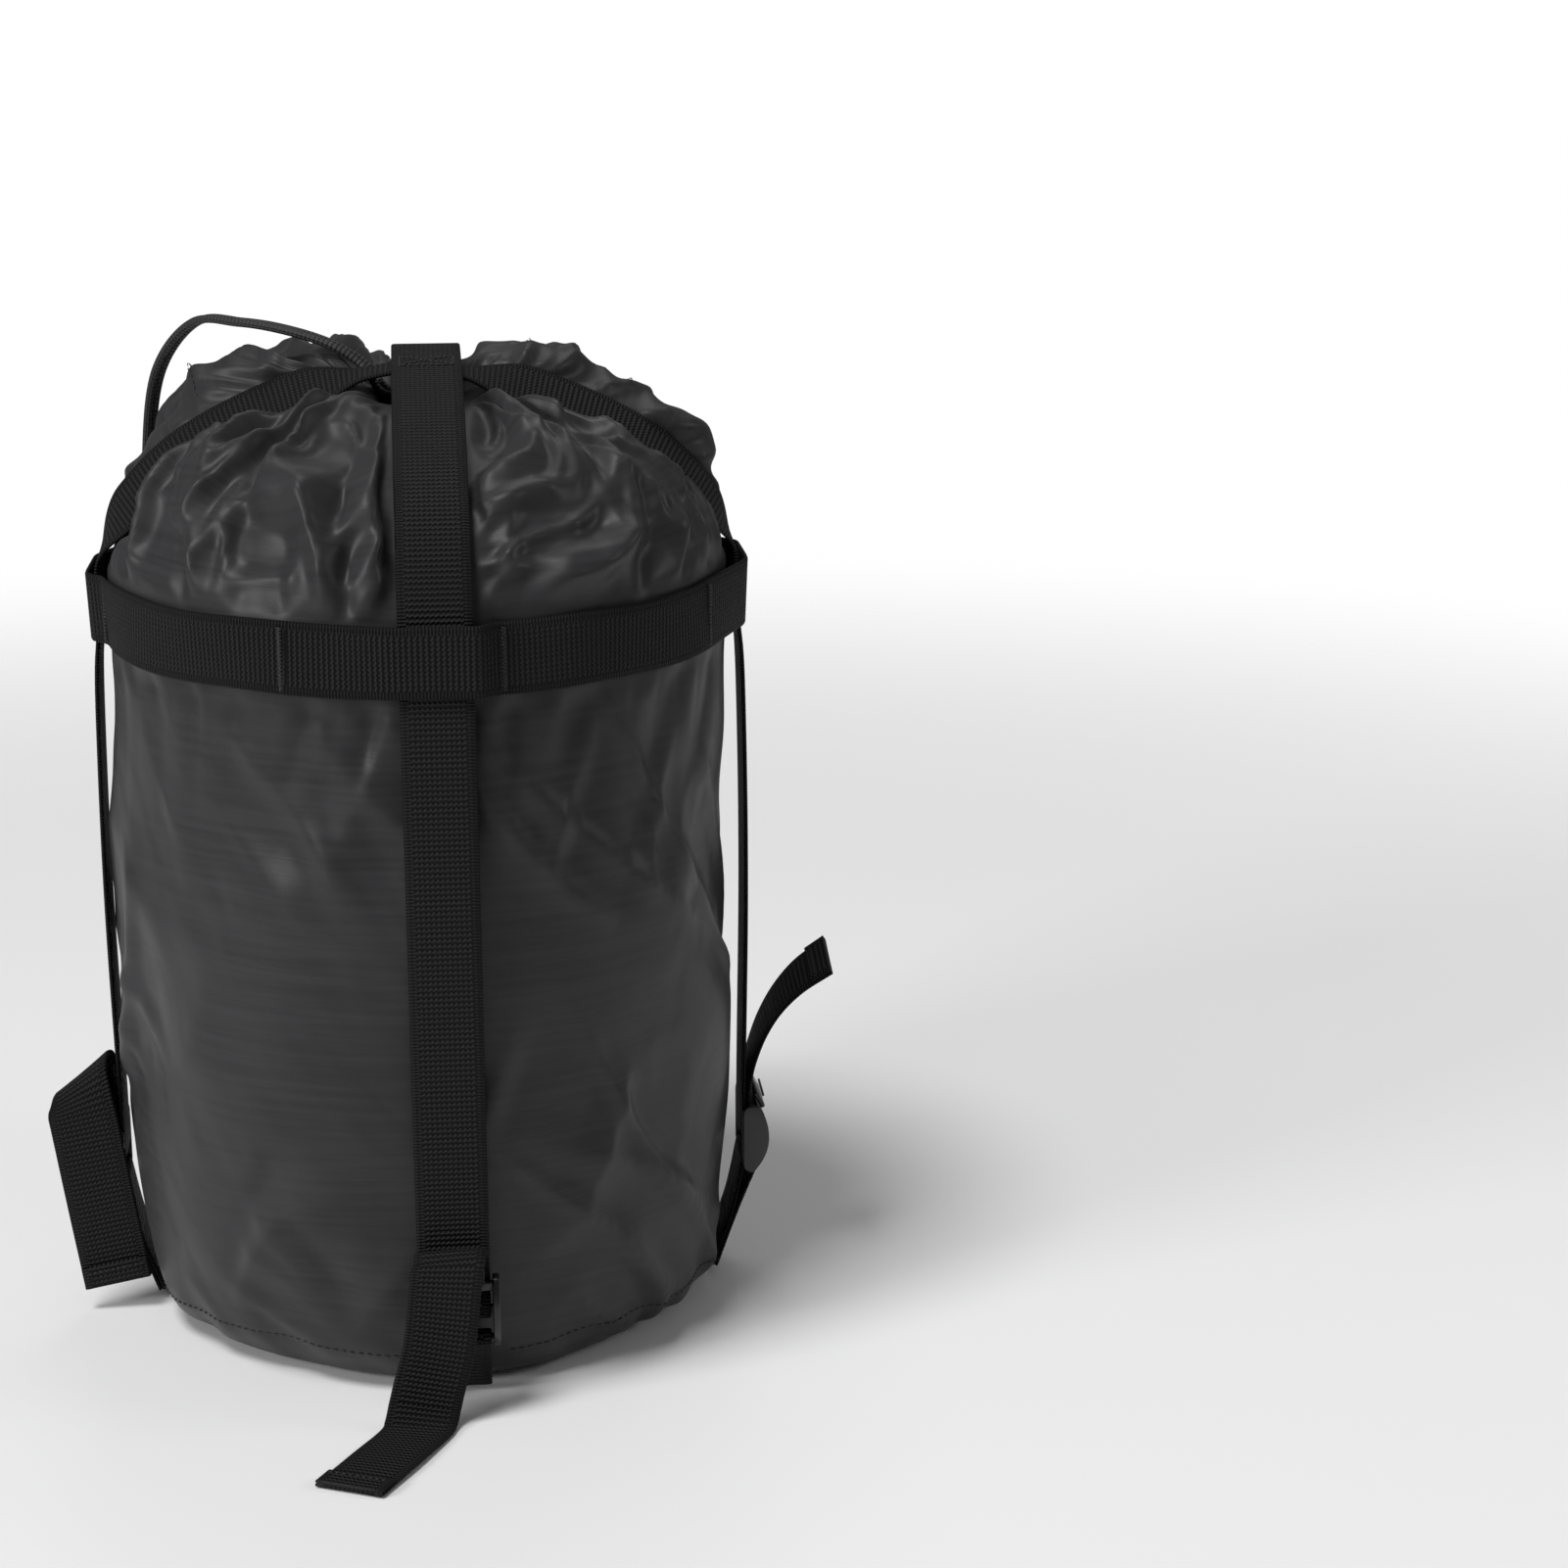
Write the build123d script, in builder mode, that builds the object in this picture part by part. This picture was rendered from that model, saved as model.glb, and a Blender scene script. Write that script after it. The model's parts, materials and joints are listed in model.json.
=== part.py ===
"""A compression sack: a stuffed round bag with a cinched mouth, held by crossed webbing straps.

Frame: +Z up, the flat base on z = 0, centred on the sack's axis. The front is -Y, the right is +X.
Millimetres. Pieces on one side of the sack are drawn in a side plane whose X runs outward, Y along the
wall and Z up, and are then turned about the axis to the front, right, back or left.
"""

import os
from math import asin, cos, degrees, hypot, pi, radians, sin, sqrt, tan

from build123d import *

os.makedirs("parts", exist_ok=True)

# Driving dimensions -------------------------------------------------------------------------------
fabric = 0.9  # coated cloth with its seam allowance
clear = 0.3  # between soft pieces that lie on each other
belly_r, belly_z = 114.5, 100.0  # widest place of the wall
top_z = 348.0  # cloth under the middle of the crossed straps
band_bottom, band_top = 255.5, 280.5
base_in = 26.5  # the flat round base is this much smaller in radius than the belly
corner_in, corner_z = 8.0, 17.0  # where the base corner turns into the wall
waist_in = 3.3  # the wall under the band
shoulder_in = 16.0  # where the sloping shoulder would meet the lobes' top
lobe_up, lobe_in = 5.0, 40.0  # the four lobes between the straps crest this far above the top
corner_bulge, lower_bulge, upper_bulge = 4.8, 1.6, 1.2  # how far each outline arc stands off its chord
shoulder_fillet = 26.0
mouth_rim_r, mouth_r, mouth_deep = 32.0, 12.5, 14.0  # the funnel of the cinched mouth

web_width, web = 25.0, 1.4  # strap webbing
valley_gap = 3.0  # from a crown strap's edge to the side of the valley it presses into the cloth
strap_gap = 0.7  # between the belly and the straps down the wall
join_gap = 2.3  # between the wall and the straps where the band crosses them
loop_near, loop_far = 19.0, 48.0  # stitch lines of a band loop, either side of its strap
loop_land = 2.0  # how far the loop stays flat past the strap's edge
thread = 0.5

bar_gap = 0.3  # webbing to buckle bar
bar_a_r = 1.6  # round bar that the anchor loop holds
bar_b_deep, bar_b_tall = 2.4, 3.0
bar_b_up, bar_c_up = 10.5, 20.5  # bar heights above bar A
bar_c_deep, bar_c_tall = 2.8, 3.4
rail, rail_gap = 2.5, 0.7  # side rail thickness, and its gap to the webbing
rail_low, rail_high = -3.4, 24.0  # ends of a rail, from bar A
rail_in, rail_out = -2.9, 7.0  # its faces, from bar A
tab_long, tab_lean = 7.0, 28.0
wrap_exit_up = 25.0  # where the webbing leaves the buckle, above bar A

cord_d, cord_gap = 3.0, 0.4
lock_r, lock_tall, lock_deep = 6.4, 14.0, 5.4  # the lock's rim is this deep under the top
plunger_r, plunger_gap, plunger_under, plunger_travel = 4.2, 0.2, 1.4, 3.0
cord_hole_gap, cord_hole_up = 0.6, 8.9  # the cords' way through the lock
hem_r, hem_drop, hem_tube_r, hem_wall = 11.2, 3.6, 2.9, 0.8  # the hem hangs this far under the mouth

SIDES = {"front": -90.0, "right": 0.0, "back": 90.0, "left": 180.0}
crown_x = 4.5  # the front-to-back strap runs this far right of the axis
STRAP_SHIFT = {"front": crown_x, "right": 0.0, "back": -crown_x, "left": 0.0}  # along each side plane's Y
BAR_A_Z = {"front": 27.0, "right": 45.0, "back": 38.0, "left": 46.0}

base_r = belly_r - base_in
corner_r = belly_r - corner_in
waist_r = belly_r - waist_in
shoulder_r = belly_r - shoulder_in
lobe_r = belly_r - lobe_in
lobe_z = top_z + lobe_up
mouth_z = top_z - mouth_deep
hem_z = mouth_z - hem_drop
lock_high = top_z - lock_deep
lock_low = lock_high - lock_tall
cord_hole_z = lock_low + cord_hole_up
plunger_top = top_z - plunger_under
valley_wide = web_width + 2 * valley_gap
cord_pitch = cord_d + cord_gap
cord_hole = cord_d + cord_hole_gap
lock_bore_r = plunger_r + plunger_gap
run_r = belly_r + strap_gap + web / 2  # middle of the webbing that runs down the wall
strap_join_r = waist_r + join_gap + web / 2  # and where it passes the band's middle
bar_a_x = run_r + web / 2 + bar_gap + bar_b_deep / 2  # bars A and B stand in one upright plane
bar_b_out = bar_a_x + bar_b_deep / 2 + bar_gap + web / 2  # webbing over bar B's outer face
tail_r = run_r + web + bar_gap + 0.1  # webbing that leaves the buckle, outside the incoming strap
bar_c_x = tail_r + web / 2 + bar_gap + bar_c_deep / 2
band_mid = (band_bottom + band_top) / 2
band_inner = waist_r + clear
loop_inner = run_r + web / 2 + clear


def save(part, name):
    part.label = name
    export_step(part, f"parts/{name}.step")


def turned(part, side):
    """A piece drawn in the side plane, moved to its strap's line and turned to its side."""
    return part.translate((0, STRAP_SHIFT[side], 0)).rotate(Axis.Z, SIDES[side])


# The cloth ----------------------------------------------------------------------------------------
# A strap's valley, by shares of the waist's radius: shares of the way down from the top to the band.
VALLEY = [(0.12, 0.012), (0.42, 0.15), (0.72, 0.4), (0.9, 0.68)]


def valley_points(lift):
    """The arched line that a crown strap follows, from the axis to the band, raised by lift."""
    arch = [(share * waist_r, top_z - drop * (top_z - band_top)) for share, drop in VALLEY]
    raised = [(x * (1 + lift / waist_r), z + lift * (1 - 0.25 * x / waist_r)) for x, z in arch]
    return [(0, top_z + lift), *raised]


with BuildSketch(Plane.XZ) as outer_section:
    with BuildLine():
        Polyline((0, 0), (base_r, 0))
        SagittaArc((base_r, 0), (corner_r, corner_z), -corner_bulge)
        SagittaArc((corner_r, corner_z), (belly_r, belly_z), -lower_bulge)
        SagittaArc((belly_r, belly_z), (waist_r, band_bottom), -upper_bulge)
        Line((waist_r, band_bottom), (waist_r, band_top))
        FilletPolyline(
            (waist_r, band_top), (shoulder_r, lobe_z - 6.0), (lobe_r, lobe_z), (mouth_rim_r, top_z - 1.0),
            radius=[shoulder_fillet, shoulder_fillet],
        )
        Line((mouth_rim_r, top_z - 1.0), (mouth_r, mouth_z))
        Polyline((mouth_r, mouth_z), (0, mouth_z), (0, 0))
    make_face()
    mirror(about=Plane.YZ)


def stuffed(inset):
    """The stuffed sack as one solid, its outline drawn in by inset, with a valley under each crown strap."""
    right = [*valley_points(-inset), (waist_r - inset, band_top + 1.0), (2 * belly_r, band_top + 1.0)]
    left = [(-x, z) for x, z in reversed(right[1:])]
    with BuildPart() as body:
        with BuildSketch(Plane.XZ):
            offset(outer_section.sketch, amount=-inset)
            with Locations((-2 * belly_r, top_z / 2)):
                Rectangle(4 * belly_r, 2 * top_z, mode=Mode.SUBTRACT)
        revolve(axis=Axis.Z)
        for plane in (Plane.XZ, Plane.YZ.offset(crown_x)):
            with BuildSketch(plane):
                with BuildLine():
                    Polyline(*left, *right, (2 * belly_r, 2 * top_z), (-2 * belly_r, 2 * top_z), close=True)
                make_face()
            extrude(amount=valley_wide / 2 + inset, both=True, mode=Mode.SUBTRACT)
    return body.part


cloth = stuffed(0.0) - stuffed(fabric)  # a closed shell, cut into its panels below


with BuildPart() as base_panel:
    with BuildSketch():
        Circle(base_r)
    extrude(amount=fabric)
save(base_panel.part, "base_panel")

with BuildPart() as side_panel:
    add(cloth)
    split(bisect_by=Plane.XY.offset(band_mid), keep=Keep.BOTTOM)
    with BuildSketch():
        Circle(base_r)
    extrude(amount=2 * fabric, mode=Mode.SUBTRACT)
save(side_panel.part, "side_panel")

with BuildPart() as top_gather:
    add(cloth)
    split(bisect_by=Plane.XY.offset(band_mid), keep=Keep.TOP)
    with BuildSketch(Plane.XY.offset(mouth_z - 3 * fabric)):
        Circle(mouth_r + 3 * fabric)
    extrude(amount=top_z, mode=Mode.SUBTRACT)
save(top_gather.part, "top_gather")

tape_width, tape_thick = 9.0, 1.2
with BuildPart() as base_seam_tape:
    with BuildSketch(Plane.XY.offset(fabric + 0.1)):
        Circle(base_r - 1.5)
        Circle(base_r - 1.5 - tape_width, mode=Mode.SUBTRACT)
    extrude(amount=tape_thick)
save(base_seam_tape.part, "base_seam_tape")

with BuildPart() as packed_load:
    add(stuffed(fabric + clear))
    floor_high = fabric + tape_thick + 2 * clear
    split(bisect_by=Plane.XY.offset(floor_high), keep=Keep.TOP)
    with BuildSketch(Plane.XY.offset(hem_z - hem_tube_r - clear)):
        Circle(hem_r + hem_tube_r + clear)
    extrude(amount=top_z, mode=Mode.SUBTRACT)
save(packed_load.part, "packed_load")

# The cinched mouth: hem, drawcord and cord lock ---------------------------------------------------
with BuildPart() as mouth_hem:
    with BuildSketch(Plane.XZ):
        with Locations((hem_r, hem_z)):
            Circle(hem_tube_r)
            Circle(hem_tube_r - hem_wall, mode=Mode.SUBTRACT)
    revolve(axis=Axis.Z)
save(mouth_hem.part, "mouth_hem")

with BuildPart() as drawcord_ring:
    with BuildSketch(Plane.XZ):
        with Locations((hem_r, hem_z)):
            Circle(cord_d / 2)
    revolve(axis=Axis.Z)
save(drawcord_ring.part, "drawcord_ring")

cord_heading = 135.0  # the cords leave the lock towards the back left
cord_plane = Plane(
    origin=(0, 0, cord_hole_z), x_dir=(cos(radians(45)), sin(radians(45)), 0),
    z_dir=(cos(radians(cord_heading)), sin(radians(cord_heading)), 0),
)
floor_thick = 1.4

with BuildPart() as cord_lock_barrel:
    with BuildSketch(Plane.XY.offset(lock_low)):
        Circle(lock_r)
    extrude(amount=lock_high - lock_low)
    fillet(cord_lock_barrel.edges().filter_by(GeomType.CIRCLE), radius=1.0)
    with BuildSketch(Plane.XY.offset(lock_low + floor_thick)):
        Circle(lock_bore_r)
    extrude(amount=lock_high, mode=Mode.SUBTRACT)
    with BuildSketch(cord_plane):
        SlotCenterToCenter(cord_pitch, cord_hole)
    extrude(amount=2 * lock_r, both=True, mode=Mode.SUBTRACT)
save(cord_lock_barrel.part, "cord_lock_barrel")

spring_room = 4.6  # between the barrel's floor and the plunger
plunger_low = lock_low + floor_thick + spring_room
with BuildPart() as cord_lock_plunger:
    with BuildSketch(Plane.XY.offset(plunger_low)):
        Circle(plunger_r)
    extrude(amount=plunger_top - plunger_low)
    fillet(cord_lock_plunger.edges().group_by(Axis.Z)[-1], radius=0.8)
    with BuildSketch(cord_plane):
        slot_height = cord_hole + plunger_travel
        with Locations((0, plunger_travel / 2)):
            Rectangle(cord_pitch + cord_hole, slot_height)
    extrude(amount=2 * lock_r, both=True, mode=Mode.SUBTRACT)
save(cord_lock_plunger.part, "cord_lock_plunger")

spring_wire, spring_turns = 0.6, 4
spring_r = plunger_r - spring_wire
with BuildPart() as cord_lock_spring:
    with BuildLine():
        coil = Helix(
            pitch=(spring_room - spring_wire - 0.2) / spring_turns,
            height=spring_room - spring_wire - 0.2,
            radius=spring_r,
            center=(0, 0, lock_low + floor_thick + spring_wire / 2 + 0.1),
        )
    with BuildSketch(Plane(origin=coil @ 0, z_dir=coil % 0)):
        Circle(spring_wire / 2)
    sweep()
save(cord_lock_spring.part, "cord_lock_spring")

# Middle of the two free cords, from the lock over the back-left lobe and down the back.
CORD_ROUTE = [
    (-4.9, 4.9, cord_hole_z), (-11.0, 11.2, 338.9), (-18.0, 17.4, 347.4), (-30.0, 20.6, 354.6),
    (-46.0, 27.4, 359.0), (-62.0, 38.0, 360.4), (-77.5, 51.5, 355.4), (-90.5, 64.0, 336.0),
    (-96.0, 71.5, 309.0), (-97.0, 74.0, 278.0), (-96.6, 74.6, 244.0), (-97.0, 76.0, 208.0),
    (-96.2, 75.4, 171.0), (-96.8, 76.4, 136.0),
]


def cord_points(side_shift):
    """The middle route moved sideways, level and square to its heading."""
    moved = []
    for k, (x, y, z) in enumerate(CORD_ROUTE):
        before = CORD_ROUTE[max(k - 1, 0)]
        after = CORD_ROUTE[min(k + 1, len(CORD_ROUTE) - 1)]
        if z < 320.0:  # hanging: the cords lie side by side along the wall
            heading = (x, y)
        else:
            heading = (after[0] - before[0], after[1] - before[1])
        long = hypot(*heading)
        moved.append((x - side_shift * heading[1] / long, y + side_shift * heading[0] / long, z))
    return moved


def cord_radii(points):
    """The largest tangent arc that each corner's two runs allow."""
    radii = []
    for a, b, c in zip(points, points[1:], points[2:]):
        run_in, run_out = Vector(*b) - Vector(*a), Vector(*c) - Vector(*b)
        half_turn = radians(run_in.get_angle(run_out)) / 2
        radii.append(0.45 * min(run_in.length, run_out.length) / tan(half_turn))
    return radii


for name, shift in {"drawcord_near": cord_pitch / 2, "drawcord_far": -cord_pitch / 2}.items():
    points = cord_points(shift)
    radii = cord_radii(points)
    print(name, "smallest arc", round(min(radii), 1))
    with BuildPart() as drawcord:
        with BuildLine() as route:
            FilletPolyline(*points, radius=radii)
        with BuildSketch(Plane(origin=route.line @ 0, z_dir=route.line % 0)):
            Circle(cord_d / 2)
        sweep()
    long = sum(edge.length for edge in route.edges())
    share = drawcord.part.volume / (long * pi * cord_d**2 / 4)
    print(name, "length", round(long, 1), "volume share", round(share, 4))
    save(drawcord.part, name)

knot_r, knot_tall = 5.4, 12.0
knot_x, knot_y, knot_top = CORD_ROUTE[-1]
with BuildPart() as drawcord_knot:
    with BuildSketch(Plane.XY.offset(knot_top - knot_tall)):
        with Locations((knot_x, knot_y)):
            Circle(knot_r)
    extrude(amount=knot_tall - 0.05)
    fillet(drawcord_knot.edges().group_by(Axis.Z)[0], radius=3.0)
    fillet(drawcord_knot.edges().group_by(Axis.Z)[-1], radius=1.0)
save(drawcord_knot.part, "drawcord_knot")

# The band around the sack, loose over each strap --------------------------------------------------


def stitch_angle(along):
    """Turn about the axis, in degrees, of a place on the band's inner face."""
    return degrees(asin(along / band_inner))


def stitch_place(along):
    """That place in the side plane."""
    return (band_inner * cos(radians(stitch_angle(along))), along)


def band_outline():
    """Inner face of the band, seen from above: arcs on the wall, and a straight tent over each strap."""
    land = web_width / 2 + loop_land
    names = list(SIDES)
    for name, following in zip(names, names[1:] + names[:1]):
        shift = STRAP_SHIFT[name]
        far, near = stitch_place(shift - loop_far), stitch_place(shift + loop_near)
        tent = [far, (loop_inner, shift - land), (loop_inner, shift + land), near]
        Polyline(*[Vector(x, y).rotate(Axis.Z, SIDES[name]) for x, y in tent])
        arc_start = SIDES[name] + stitch_angle(shift + loop_near)
        arc_end = SIDES[name] + 90.0 + stitch_angle(STRAP_SHIFT[following] - loop_far)
        CenterArc((0, 0), band_inner, arc_start, arc_end - arc_start)


with BuildPart() as cinch_band:
    with BuildSketch(Plane.XY.offset(band_bottom)) as band_plan:
        with BuildLine():
            band_outline()
        make_face()
        inner_plan = band_plan.sketch
        offset(amount=web)
        add(inner_plan, mode=Mode.SUBTRACT)
    extrude(amount=band_top - band_bottom)
save(cinch_band.part, "cinch_band")

bartack_wide, bartack_inset = 2.0, 1.4
with BuildPart() as band_bartacks:
    for name, side_turn in SIDES.items():
        for along, beyond in ((loop_near, 1.6), (-loop_far, -1.6)):
            stitch_turn = side_turn + stitch_angle(STRAP_SHIFT[name] + along) + beyond
            with BuildSketch(Plane.XY.offset(band_mid).rotated((0, 0, stitch_turn))):
                with Locations((band_inner + web + thread / 2 + 0.02, 0)):
                    Rectangle(thread, bartack_wide)
            extrude(amount=(band_top - band_bottom) / 2 - bartack_inset, both=True)
save(band_bartacks.part, "band_bartacks")

# The crown: two straps crossed over the top -------------------------------------------------------
UNDER, OVER = clear + web / 2 + 0.1, 2 * clear + 1.5 * web + 0.3  # strap middles above the cloth


def crown_strap(lift):
    """A crown strap in the side plane, arched from the band over the top and down to it again."""
    over_band = (waist_r + 1.2 * UNDER + 0.3, band_top + 4.0)
    right = [*valley_points(lift)[1:], over_band, (strap_join_r, band_mid)]
    left = [(-x, z) for x, z in reversed(right)]
    with BuildPart() as strap:
        with BuildSketch(Plane.XZ):
            with BuildLine() as path:
                bends = [14.0] + [36.0] * (len(left) + len(right) - 4) + [14.0]
                FilletPolyline(*left, *right, radius=bends)
            trace(path.line, line_width=web)
        extrude(amount=web_width / 2, both=True)
    return strap.part


save(crown_strap(UNDER), "crown_strap_side")
save(turned(crown_strap(OVER), "front"), "crown_strap_front")

stitch_inset = 3.0
stitch_square = web_width - 2 * stitch_inset
with BuildPart() as crown_box_stitch:
    with BuildSketch(Plane.XY.offset(valley_points(OVER)[1][1] + web / 2 + 0.02)):
        with Locations((crown_x, 0)):
            Rectangle(stitch_square, stitch_square)
            Rectangle(stitch_square - 2.4, stitch_square - 2.4, mode=Mode.SUBTRACT)
        for cross_turn in (45.0, -45.0):
            with Locations(Location((crown_x, 0), cross_turn)):
                Rectangle(stitch_square * sqrt(2) - 2.4, 1.2)
    extrude(amount=thread)
save(crown_box_stitch.part, "crown_box_stitch")

# Buckles, anchors and straps on each side ---------------------------------------------------------


def strap_run(bar_a_z):
    """The strap down the wall, from the band's middle to behind buckle bar B."""
    with BuildPart() as run:
        with BuildSketch(Plane.XZ):
            with BuildLine() as path:
                FilletPolyline(
                    (strap_join_r, band_mid - 0.2),
                    (run_r, band_bottom - 12.0),
                    (run_r, bar_a_z + bar_b_up + 0.2),
                    radius=60.0,
                )
            trace(path.line, line_width=web)
        extrude(amount=web_width / 2, both=True)
    return run.part


def strap_wrap(bar_a_z):
    """The strap under bar B, over its outer face and out between bar C and the incoming strap."""
    bend_r = (bar_b_out - run_r) / 2
    with BuildPart() as wrap:
        with BuildSketch(Plane.XZ):
            with BuildLine() as path:
                arc = CenterArc((bar_a_x, bar_a_z + bar_b_up - 0.1), bend_r, 180, 180)
                FilletPolyline(
                    arc @ 1,
                    (bar_b_out, bar_a_z + bar_b_up + 2.4),
                    (tail_r, bar_a_z + bar_c_up - 3.2),
                    (tail_r, bar_a_z + wrap_exit_up),
                    radius=1.2,
                )
            trace(path.line, line_width=web)
        extrude(amount=web_width / 2, both=True)
    return wrap.part


def ladder_lock(bar_a_z):
    """Two thin deep rails, a round anchor bar, a flat middle bar and a lifting tab on the third."""
    inside = web_width / 2 + rail_gap
    with BuildPart() as lock:
        with BuildSketch(Plane.XZ.offset(inside)):
            with BuildLine():
                Polyline(
                    (bar_a_x + rail_in, bar_a_z + rail_high - 2.0),
                    (bar_a_x + rail_in, bar_a_z + rail_low + 2.0),
                    (bar_a_x + 0.5, bar_a_z + rail_low),
                )
                ThreePointArc(
                    (bar_a_x + 0.5, bar_a_z + rail_low),
                    (bar_a_x + rail_out, bar_a_z + 9.0),
                    (bar_a_x + rail_out - 3.4, bar_a_z + rail_high),
                )
                Polyline(
                    (bar_a_x + rail_out - 3.4, bar_a_z + rail_high),
                    (bar_a_x + rail_in + 1.6, bar_a_z + rail_high),
                    (bar_a_x + rail_in, bar_a_z + rail_high - 2.0),
                )
            make_face()
        extrude(amount=rail)
        mirror(about=Plane.XZ)
        with BuildSketch(Plane.XZ):
            with Locations((bar_a_x, bar_a_z)):
                Circle(bar_a_r)
            with Locations((bar_a_x, bar_a_z + bar_b_up + 0.4)):
                RectangleRounded(bar_b_deep, bar_b_tall, 0.8)
            with Locations((bar_c_x, bar_a_z + bar_c_up)):
                RectangleRounded(bar_c_deep, bar_c_tall, 0.8)
        extrude(amount=inside + 0.5, both=True)
        with BuildSketch(Plane.XZ):
            with BuildLine() as lean:
                PolarLine(
                    (bar_c_x + 0.2, bar_a_z + bar_c_up + 0.8), tab_long, 90.0 - tab_lean
                )
            trace(lean.line, line_width=1.8)
        extrude(amount=web_width / 2 - 2.0, both=True)
    return lock.part


def anchor_loop(bar_a_z):
    """Webbing sewn into the base seam, doubled, with bar A held in its loop."""
    hole_r = bar_a_r + bar_gap
    with BuildPart() as anchor:
        with BuildSketch(Plane.XZ):
            with BuildLine() as path:
                FilletPolyline(
                    (corner_r - 1.8, 3.4),
                    (corner_r + 2.9 + 0.06 * bar_a_z, 0.55 * bar_a_z),
                    (bar_a_x, bar_a_z),
                    radius=20.0,
                )
            trace(path.line, line_width=2 * web + 0.1)
            with Locations((bar_a_x, bar_a_z)):
                Circle(hole_r + web)
                Circle(hole_r, mode=Mode.SUBTRACT)
        extrude(amount=web_width / 2, both=True)
    return anchor.part


# Webbing past the buckle: middles and width directions in the side plane. Heights of risen tails are
# above bar A, and the others are above the floor.
def ribbon(frames):
    """Webbing through a list of (middle, width direction), flat from each to the next."""
    middles = [Vector(*m) for m, _ in frames]
    with BuildPart() as strip:
        for k, (middle, wide) in enumerate(frames):
            along = middles[min(k + 1, len(frames) - 1)] - middles[max(k - 1, 0)]
            across = Vector(*wide).normalized()
            flat_along = (along - across * along.dot(across)).normalized()
            with BuildSketch(Plane(origin=middles[k], x_dir=across, z_dir=flat_along)):
                Rectangle(web_width, web)
        loft(ruled=True)
    return strip.part


def fold(bar_a_z, reach, drop_shift=0.0):
    """Frames of a strap that leaves the buckle upwards and turns over outwards with that reach."""
    start = bar_a_z + wrap_exit_up + 1.6
    middle, bend = tail_r + reach / 2, reach / 2
    frames = [((tail_r, 0, start), (0, 1, 0))]
    for step in range(1, 6):
        angle = radians(180.0 - 36.0 * step)
        place = (middle + bend * cos(angle), drop_shift * step / 5, start + 2.5 + bend * sin(angle))
        frames.append((place, (0, 1, -0.04 * drop_shift * step / 5)))
    return frames


def rising(bar_a_z, steps):
    """Frames of a tail that stands up from its buckle: how far out, aside and above bar A, and its twist."""
    return [((tail_r + out, aside, bar_a_z + up), (0, 1, twist)) for out, aside, up, twist in steps]


STUB = [(0.0, 0.0, 26.6, 0.0), (0.7, 0.0, 32.0, 0.0), (2.2, 0.0, 39.0, 0.0)]
CURL = [(2.9, 0.0, 41.2, 0.0), (6.4, 0.0, 51.0, 0.05), (12.4, 0.6, 61.0, 0.12), (20.6, 1.2, 69.6, 0.2),
        (32.0, 2.0, 77.0, 0.25)]
tail_reach, tail_gap = 10.4, 2.3
beside = web_width / 2 + rail_gap + rail + tail_gap  # the left tail hangs beside its buckle
TAIL_UPPER = {
    "front": fold(BAR_A_Z["front"], tail_reach, -1.5)
    + [((tail_r + 11.0, -4.5, 30.0), (0, 0.978, -0.208)), ((tail_r + 11.4, -9.0, 12.0), (0, 0.978, -0.208)),
       ((tail_r + 13.6, -11.0, 4.6), (0.05, 0.98, -0.14))],
    "back": rising(BAR_A_Z["back"], STUB),
    "right": rising(BAR_A_Z["right"], STUB),
    "left": [((tail_r, 0, 72.6), (0, 1, 0)), ((tail_r + 1.8, 0.4, 76.4), (0.08, 0.99, -0.08)),
             ((tail_r + 5.4, 1.6, 81.0), (0.34, 0.87, -0.34)),
             ((tail_r + 8.6, 4.4, 86.4), (0.62, 0.5, -0.6)),
             ((tail_r + 11.2, beside - 9.0, 90.2), (0.76, 0.1, -0.64))],
}
TAIL_END = {
    "front": [((tail_r + 15.6, -12.2, 2.2), (0.1, 0.98, -0.06)),
              ((tail_r + 20.0, -13.6, 1.1), (0.17, 0.98, 0)),
              ((tail_r + 62.0, -22.0, 1.0), (0.19, 0.98, 0))],
    "back": rising(BAR_A_Z["back"], CURL),
    "right": rising(BAR_A_Z["right"], CURL),
    "left": [((tail_r + 12.0, beside - 4.4, 90.4), (0.8, 0.0, -0.6)),
             ((tail_r + 12.6, beside - 1.2, 87.2), (0.84, 0, -0.54)),
             ((tail_r + 12.4, beside, 81.0), (0.94, 0, -0.34)),
             ((tail_r + 11.0, beside, 72.0), (0.983, 0, -0.185)),
             ((tail_r + 2.0, beside + 0.4, 10.6), (0.983, 0, -0.185))],
}

for side, bar_a_z in BAR_A_Z.items():
    save(turned(strap_run(bar_a_z), side), f"strap_run_{side}")
    save(turned(strap_wrap(bar_a_z), side), f"strap_wrap_{side}")
    save(turned(ladder_lock(bar_a_z), side), f"ladder_lock_{side}")
    save(turned(anchor_loop(bar_a_z), side), f"anchor_loop_{side}")
    save(turned(ribbon(TAIL_UPPER[side]), side), f"tail_upper_{side}")
    save(turned(ribbon(TAIL_END[side]), side), f"tail_end_{side}")
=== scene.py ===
"""A stuffed compression sack: gathered nylon cloth, crossed webbing straps, ladder locks, loose tails and a drawcord.

Run as a script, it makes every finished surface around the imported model. Metres, +Z up, the front is -Y.
Pieces on one side of the sack are drawn in a side plane, x outwards, y along the wall, z up, and turned to their side.
"""

import json
from math import cos, pi, radians, sin

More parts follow.
